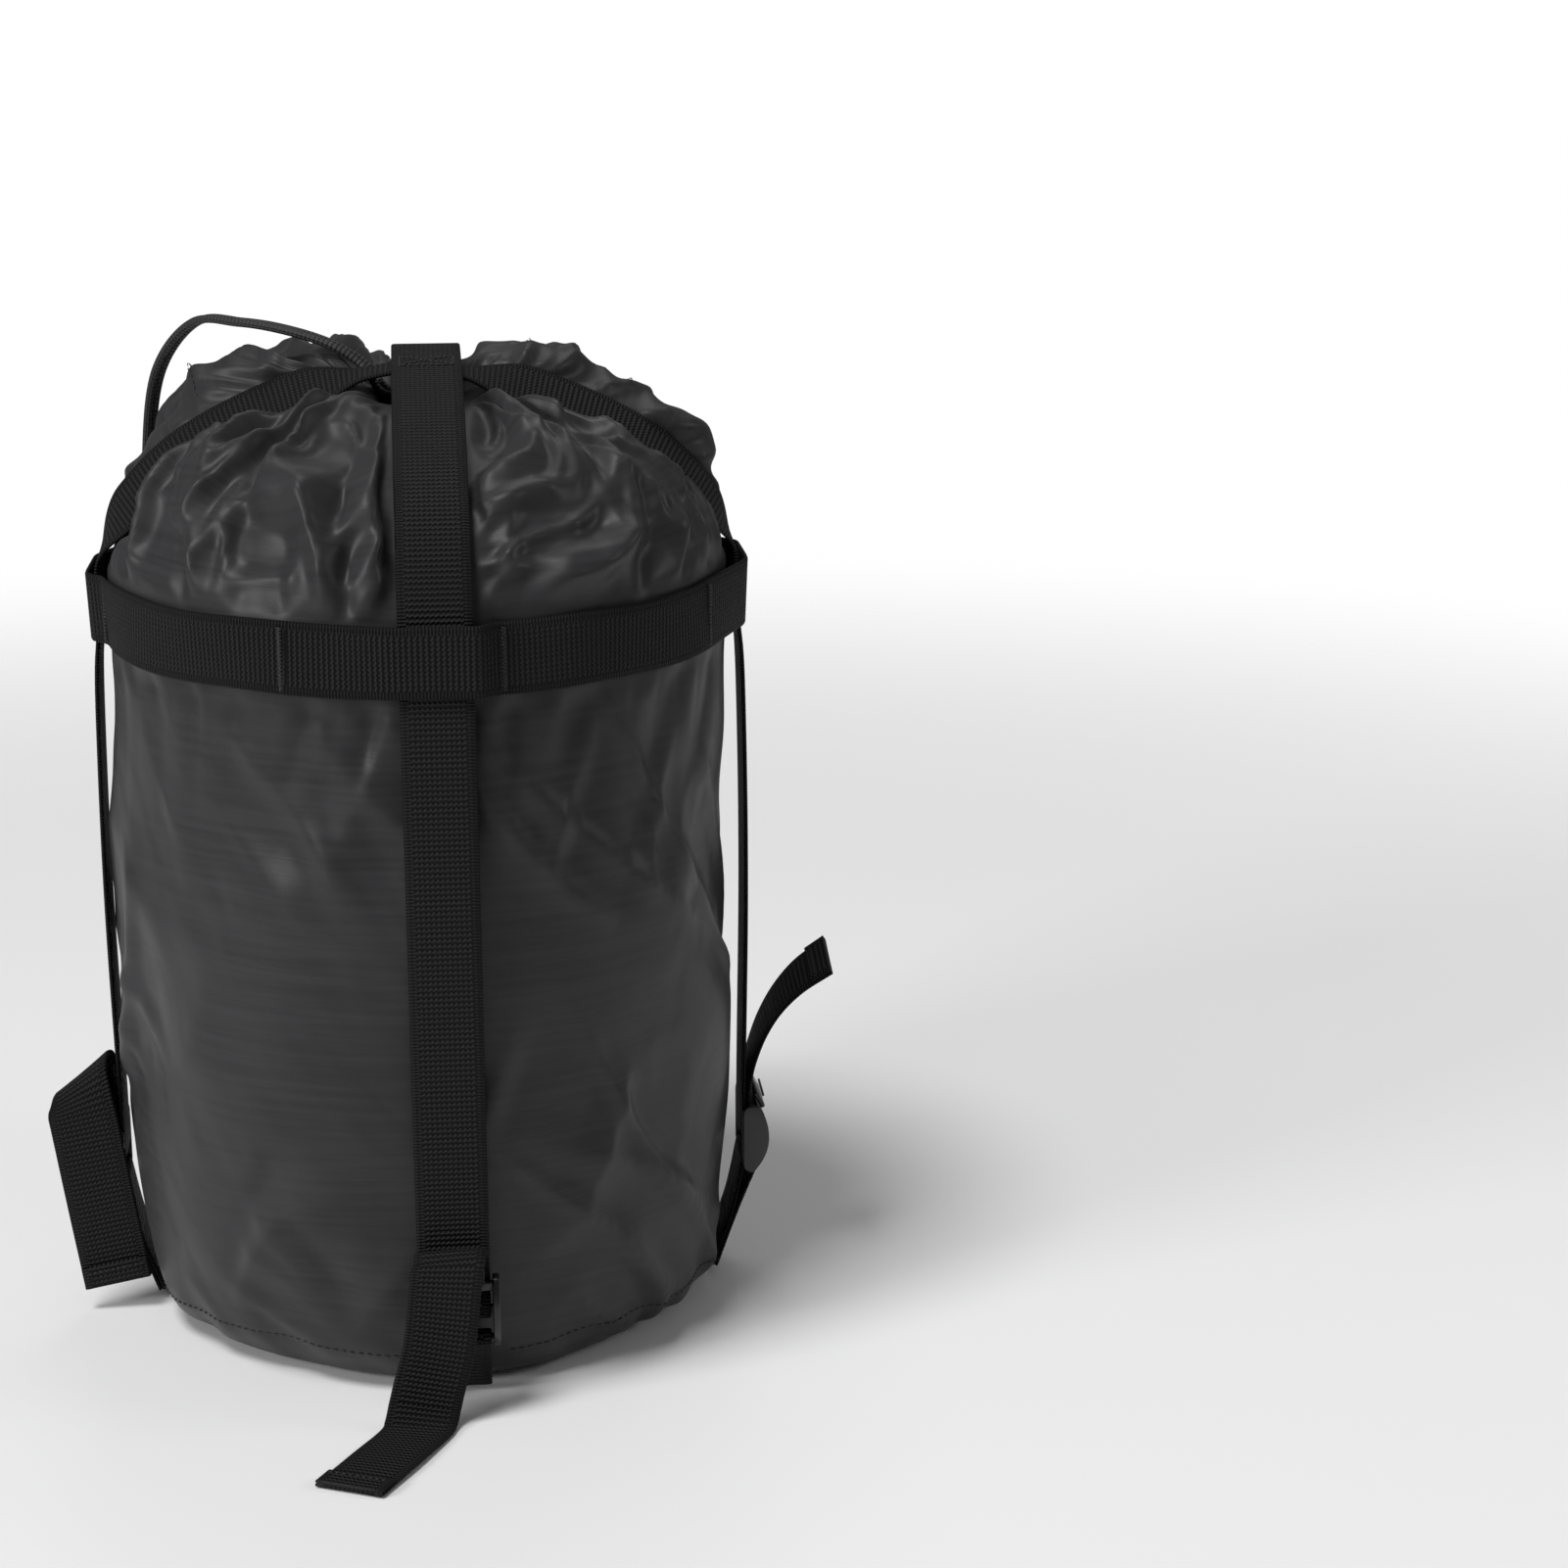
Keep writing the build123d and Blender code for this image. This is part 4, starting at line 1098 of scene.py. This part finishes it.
class SACK_OT_wall_straps(bpy.types.Operator):
    """Makes the four straps down the wall and the anchor loops that hold their buckles"""
    bl_idname = "sack.wall_straps"
    bl_label = "Wall straps"

    def execute(self, context):
        for side in SIDES:
            path = run_path(side)
            shape = Shape()
            side_strap(shape, path, side)
            low, high = float(path[:, 2].min()), float(path[:, 2].max())
            squash = (low, 1 - TRAVEL * KEEP_BAND / (high - low))
            piece = shape.make(f"wall_strap_{side}", strap_material())
            attach(piece, "sack", "strap_webbing", f"strap_run_{side}", squash=squash)
            loop = Shape()
            side_strap(loop, anchor_path(side), side)
            attach(loop.make(f"anchor_strap_{side}", strap_material()), "sack", "strap_webbing", f"anchor_loop_{side}")
        return {"FINISHED"}


class SACK_OT_buckles(bpy.types.Operator):
    """Makes the four moulded ladder locks, with the webbing threaded through them"""
    bl_idname = "sack.buckles"
    bl_label = "Buckles"

    def execute(self, context):
        look = context.scene.sack_hardware
        inside, rail_wide = WEB_WIDTH / 2 + 0.7 * MM, 2.5 * MM
        grip = WEB_WIDTH / 2 - 2.0 * MM
        for side in SIDES:
            x, z = BAR_A_X, BAR_A_Z[side]
            sweep = np.linspace(0, 1, 16)[:, None]
            start, top, end = np.array([(0.5, -3.4), (7.0, 9.0), (3.6, 24.0)])
            bow = (1 - sweep) ** 2 * start + 2 * sweep * (1 - sweep) * (2 * top - (start + end) / 2) + sweep**2 * end
            rail = np.vstack([[(-1.3, 24.0), (-2.9, 22.0), (-2.9, -1.4)], bow]) * MM + (x, z)
            shape = Shape()
            for low in (inside, -inside - rail_wide):
                slab(shape, rounded_loop(rail, 72, 3), low, low + rail_wide, look.rounding, side)
            turn = np.arange(20) * pi / 10
            round_bar = np.stack([x + BAR_A_R * np.cos(turn), z + BAR_A_R * np.sin(turn)], axis=1)
            bars = [round_bar, box_loop(x, z + BAR_B_UP + 0.4 * MM, BAR_B_DEEP, 3.0 * MM),
                    box_loop(BAR_C_X, z + BAR_C_UP, BAR_C_DEEP, 3.4 * MM)]
            for bar in bars:
                slab(shape, bar, -inside - 0.5 * MM, inside + 0.5 * MM, 0.2 * MM, side)
            lean = radians(28.0)
            root = np.array([BAR_C_X + 0.2 * MM, z + BAR_C_UP + 0.8 * MM])
            way = np.array([sin(lean), cos(lean)])
            middle = root + way * 3.5 * MM
            slab(shape, box_loop(*middle, 1.8 * MM, 7.0 * MM, lean), -grip, grip, 0.6 * MM, side)
            for reach in (3.6, 5.4):
                ridge = root + way * reach * MM + np.array([way[1], -way[0]]) * 0.9 * MM
                slab(shape, box_loop(*ridge, 0.8 * MM, 0.9 * MM, count=14, softness=1), -grip + 2 * MM, grip - 2 * MM,
                     0.3 * MM, side)
            piece = shape.make(f"buckle_{side}_moulding", material("moulded_acetal", acetal, look.colour))
            attach(piece, f"buckle_{side}", "moulded_acetal", f"ladder_lock_{side}")
            wrap = Shape()
            side_strap(wrap, wrap_path(side), side)
            attach(wrap.make(f"threaded_{side}", strap_material()), f"buckle_{side}", "strap_webbing",
                   f"strap_wrap_{side}")
        return {"FINISHED"}


class SACK_OT_tails(bpy.types.Operator):
    """Makes the loose strap ends, each with a folded and stitched hem"""
    bl_idname = "sack.tails"
    bl_label = "Tails"

    def execute(self, context):
        hem = context.scene.sack_straps.hem
        for side in SIDES:
            even = curve_through(tail_frames(side), 170)
            if side == "front":
                split = int(np.argmax((even[:, 0] > TAIL_R + 12.0 * MM) & (even[:, 2] < 12 * MM)))
                drop = self.strap(even[:split + 1], side, "tail_front_drop")
                attach(drop, None, "strap_webbing", "tail_upper_front")
                side_point(side, 10.8, 0, 47)
                side_point(side, 10.8, 0, 9)
                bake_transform(drop)
                self.ending(even[split:], side, hem)
                continue
            self.ending(even, side, hem)
        return {"FINISHED"}

    def frames(self, even, side):
        """Middles and width directions, turned from the side plane to their side."""
        return to_side(even[:, :3], side), to_side(even[:, 3:], side, is_place=False)

    def strap(self, even, side, name):
        """A stretch of tail between its buckle and its free end."""
        shape = Shape()
        ribbon(shape, *self.frames(even, side), WEB_WIDTH, WEB, bow=0.25 * MM)
        return shape.make(name, strap_material())

    def ending(self, even, side, hem):
        """The tail's free end, with its hem folded back on the side away from the sack."""
        middles, wides = self.frames(even, side)
        shape = Shape()
        ribbon(shape, middles, wides, WEB_WIDTH, WEB, bow=0.2 * MM)
        away = -1.0 if side == "left" else 1.0
        run = run_along(middles)
        last = run > run[-1] - hem
        normals = away * unit(np.cross(headings(middles), wides))
        ribbon(shape, (middles + normals * WEB * 0.95)[last], wides[last], WEB_WIDTH - 0.3 * MM, WEB * 0.9)
        piece = shape.make(f"tail_{side}_end", strap_material())
        line_at = int(np.argmax(run > run[-1] - hem + 2.0 * MM))
        reach = np.linspace(-0.44, 0.44, 30)[:, None] * WEB_WIDTH
        line = middles[line_at] + normals[line_at] * WEB * 1.45 + wides[line_at] * reach
        threads = Shape()
        stitches(threads, *dashes(line, np.broadcast_to(normals[line_at], line.shape), 2.2 * MM), 0.3 * MM)
        sewn = threads.make(f"tail_{side}_stitches", thread_material())
        nodes = ["tail_end_front"] if side == "front" else [f"tail_upper_{side}", f"tail_end_{side}"]
        z = BAR_A_Z[side] / MM
        bend = {
            "front": (side_point(side, 13.4, -12, 2), side_point(side, 21, -13, 2)),
            "left": (side_point(side, 10, 12.6, 88), side_point(side, 10, 16.2, 88)),
        }.get(side, (side_point(side, 2.9, 0, z + 34), side_point(side, 2.9, 0, z + 50)))
        attach(piece, None, "strap_webbing", *nodes)
        attach(sewn, f"tail_{side}", "stitch_thread")
        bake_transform(piece)


class SACK_OT_mouth(bpy.types.Operator):
    """Makes the gathered hem of the mouth, and finishes the cord lock and what the sack hides"""
    bl_idname = "sack.mouth"
    bl_label = "Mouth"

    def execute(self, context):
        hardware = context.scene.sack_hardware
        hem_r, tube_r = 11.2 * MM, 2.75 * MM
        turn = np.arange(220)[None, :] * 2 * pi / 220
        lap = np.arange(20)[:, None] * 2 * pi / 20
        thick = tube_r + 0.25 * MM * np.sin(26 * turn) * (0.6 + 0.4 * np.cos(lap))
        radius = hem_r + thick * np.cos(lap)
        places = np.stack([radius * np.cos(turn), radius * np.sin(turn),
                           TOP_Z - 17.6 * MM + thick * np.sin(lap) + 0 * turn], axis=-1)
        shape = Shape()
        uv = np.stack(np.broadcast_arrays(turn * hem_r, lap * tube_r), axis=-1)
        shape.add_tube(places, uv, closed_along=True, flip=True)
        attach(shape.make("mouth_hem_gathers", cloth_material()), "crown", "coated_nylon", "mouth_hem")
        self.spring()
        kept = {
            "base_seam_tape": ("edge_tape", webbing, (0.03, 0.03, 0.03, 1.0), 1.0 * MM),
            "drawcord_ring": ("braided_cord", braided, context.scene.sack_cord.colour),
            "cord_lock_barrel": ("moulded_acetal", acetal, hardware.colour),
            "cord_lock_plunger": ("moulded_acetal", acetal, hardware.colour),
        }
        for node, (name, make, *values) in kept.items():
            solid = frame["nodes"][node]
            solid.data.materials.clear()
            solid.data.materials.append(material(name, make, *values))
        return {"FINISHED"}

    def spring(self):
        """The cord lock's spring: four open turns of wire."""
        low, high = low_high("cord_lock_spring")
        wire = 0.3 * MM
        share = np.linspace(0, 1, 145)
        turn = share * 8 * pi
        reach = (high[0] - low[0]) / 2 - wire
        middle = (low + high) / 2
        path = np.stack([middle[0] + reach * np.cos(turn), middle[1] + reach * np.sin(turn),
                         low[2] + wire + share * (high[2] - low[2] - 2 * wire)], axis=1)
        shape = Shape()
        tube(shape, path, wire, (0.0, 0.0, 1.0), sides=8)
        piece = shape.make("cord_lock_coil", material("spring_wire", steel))
        attach(piece, "crown", "spring_wire", "cord_lock_spring")
        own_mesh(piece)


CORD_ASIDE = 1.7 * MM


class SACK_OT_cords(bpy.types.Operator):
    """Makes the doubled drawcord, over a lobe and down the back, and its knot"""
    bl_idname = "sack.cords"
    bl_label = "Drawcord"

    def execute(self, context):
        look = context.scene.sack_cord
        finish = material("braided_cord", braided, look.colour)
        middle = np.array(CORD_ROUTE) * MM
        ahead = np.vstack([middle[1:], middle[-1:]]) - np.vstack([middle[:1], middle[:-1]])
        heading = np.where(middle[:, 2:] < 320 * MM, middle[:, :2], ahead[:, :2])
        heading = unit(heading)
        sideways = np.column_stack([-heading[:, 1], heading[:, 0], np.zeros(len(middle))])
        for name, shift in (("drawcord_near", CORD_ASIDE), ("drawcord_far", -CORD_ASIDE)):
            path = curve_through(middle + sideways * shift, 240)
            shape = Shape()
            tube(shape, path, look.diameter / 2, (0.70, 0.70, 0.05))
            piece = shape.make(f"{name}_braid", finish)
            attach(piece, "crown", "braided_cord", name)
        self.knot(middle[-1], finish)
        return {"FINISHED"}

    def knot(self, top, finish):
        """A trefoil of the doubled cord drawn tight, with two cut ends below it."""
        turn = np.linspace(0, 2 * pi, 120, endpoint=False)
        size = 1.25 * MM
        flat = np.stack([np.sin(turn) + 2 * np.sin(2 * turn), np.cos(turn) - 2 * np.cos(2 * turn)], axis=1) * size
        depth = -np.sin(3 * turn) * 1.5 * MM
        wall, out = unit(np.array([-top[1], top[0], 0.0])), unit(np.array([top[0], top[1], 0.0]))
        up = np.array([0, 0, 1.0])
        centre = top - up * 6.0 * MM
        path = centre + flat[:, :1] * wall + depth[:, None] * out + flat[:, 1:] * up
        shape = Shape()
        tube(shape, path, 1.9 * MM, out, closed=True)
        share = np.linspace(0, 1, 10)[:, None]
        for aside in (-CORD_ASIDE, CORD_ASIDE):
            end = centre + wall * aside * (1 + 0.5 * share) - up * (2.0 + 6.5 * share) * MM
            tube(shape, end, 1.45 * MM, out)
        attach(shape.make("drawcord_knot_tied", finish), "crown", "braided_cord", "drawcord_knot")


class SACK_OT_stage(bpy.types.Operator):
    """Sets the pale floor, the soft lights and the camera"""
    bl_idname = "sack.stage"
    bl_label = "Stage"

    def execute(self, context):
        look = context.scene.sack_stage
        finish = Finish("floor")
        where, x, y, _ = finish.place()
        mottle = finish.noise(where, 3.0, 2.0)
        tint = finish.mix(mottle, darker(look.floor_colour, 0.985), tuple(look.floor_colour))
        finish.feed(Base_Color=tint, Roughness=0.32, Alpha=1 - (x * x + y * y).step(0.20, 1.9))
        shape = Shape()
        across, along = np.meshgrid(*[np.linspace(-30.0, 30.0, 3)] * 2)
        flat = np.stack([across, along, np.full_like(across, -0.2 * MM)], axis=-1)
        shape.add(flat, grid_faces(3, 3), flat[..., :2])
        floor = shape.make("floor", finish.material)
        lights = [
            ("key", "AREA", (-1.5, -0.9, 0.8), 0.5, look.light, (0.0, 0.0, 0.2)),
            ("fill", "AREA", (1.5, -0.3, 0.8), 0.5, look.light * 0.22, (0.0, 0.0, 0.18)),
            ("top", "AREA", (0.2, 0.9, 1.7), 0.8, look.light * 0.25, (0.0, 0.0, 0.30)),
            ("daylight", "SUN", (-0.8, -0.6, 2.4), radians(20), 1.85, (0.0, 0.0, 0.0)),
        ]
        for name, kind, place, size, power, target in lights:
            data = bpy.data.lights.new(name, kind)
            data.energy = power
            if kind == "SUN":
                data.angle = size
            else:
                data.size = size
            lamp = bpy.data.objects.new(name, data)
            lamp.location = place
            lamp.rotation_euler = (Vector(target) - Vector(place)).to_track_quat("-Z", "Y").to_euler()
            context.scene.collection.objects.link(lamp)
        world = bpy.data.worlds.new("studio")
        world.use_nodes = True
        tree = world.node_tree
        seen, lit = tree.nodes["Background"], tree.nodes.new("ShaderNodeBackground")
        seen.inputs["Color"].default_value = lit.inputs["Color"].default_value = (1.0, 1.0, 1.0, 1.0)
        seen.inputs["Strength"].default_value, lit.inputs["Strength"].default_value = 1.0, 0.14
        chosen, ray = tree.nodes.new("ShaderNodeMixShader"), tree.nodes.new("ShaderNodeLightPath")
        tree.links.new(ray.outputs["Is Camera Ray"], chosen.inputs[0])
        tree.links.new(lit.outputs[0], chosen.inputs[1])
        tree.links.new(seen.outputs[0], chosen.inputs[2])
        tree.links.new(chosen.outputs[0], tree.nodes["World Output"].inputs["Surface"])
        context.scene.world = world
        data = bpy.data.cameras.new("camera")
        data.lens, data.sensor_width = 77.3, 36.0
        camera = bpy.data.objects.new("camera", data)
        camera.location = (0.0, -1.2, 0.53)
        camera.rotation_euler = (radians(90 - 15.7), 0.0, radians(-6.3))
        context.scene.collection.objects.link(camera)
        context.scene.camera = camera
        context.scene.view_settings.view_transform = "Standard"
        return {"FINISHED"}


class SACK_PT_panel(bpy.types.Panel):
    """Lists the sack's pieces and settings"""
    bl_idname = "SACK_PT_panel"
    bl_label = "Compression Sack"
    bl_space_type = "VIEW_3D"
    bl_region_type = "UI"
    bl_category = "Sack"

    def draw(self, context):
        for group in SETTINGS:
            box = self.layout.box()
            settings = getattr(context.scene, group)
            for name in settings.__annotations__:
                box.prop(settings, name)
        for operator in OPERATORS:
            self.layout.operator(operator.bl_idname)


SETTINGS = {
    "sack_cloth": SackCloth,
    "sack_straps": SackStraps,
    "sack_hardware": SackHardware,
    "sack_cord": SackCord,
    "sack_stage": SackStage,
}
OPERATORS = (
    SACK_OT_cloth, SACK_OT_load, SACK_OT_band, SACK_OT_crown, SACK_OT_wall_straps, SACK_OT_buckles, SACK_OT_tails,
    SACK_OT_mouth, SACK_OT_cords, SACK_OT_stage,
)


def register():
    """Adds the settings, the operators and the panel to Blender."""
    for made in (*SETTINGS.values(), *OPERATORS, SACK_PT_panel):
        bpy.utils.register_class(made)
    for name, group in SETTINGS.items():
        setattr(bpy.types.Scene, name, bpy.props.PointerProperty(type=group))


def unregister():
    """Takes the settings, the operators and the panel away again."""
    for name in SETTINGS:
        delattr(bpy.types.Scene, name)
    for made in reversed((*SETTINGS.values(), *OPERATORS, SACK_PT_panel)):
        bpy.utils.unregister_class(made)


def main():
    """Makes every piece and the stage."""
    register()
    bpy.ops.sack.cloth()
    bpy.ops.sack.load()
    bpy.ops.sack.band()
    bpy.ops.sack.crown()
    bpy.ops.sack.wall_straps()
    bpy.ops.sack.buckles()
    bpy.ops.sack.tails()
    bpy.ops.sack.mouth()
    bpy.ops.sack.cords()
    bpy.ops.sack.stage()


if __name__ == "__main__":
    main()
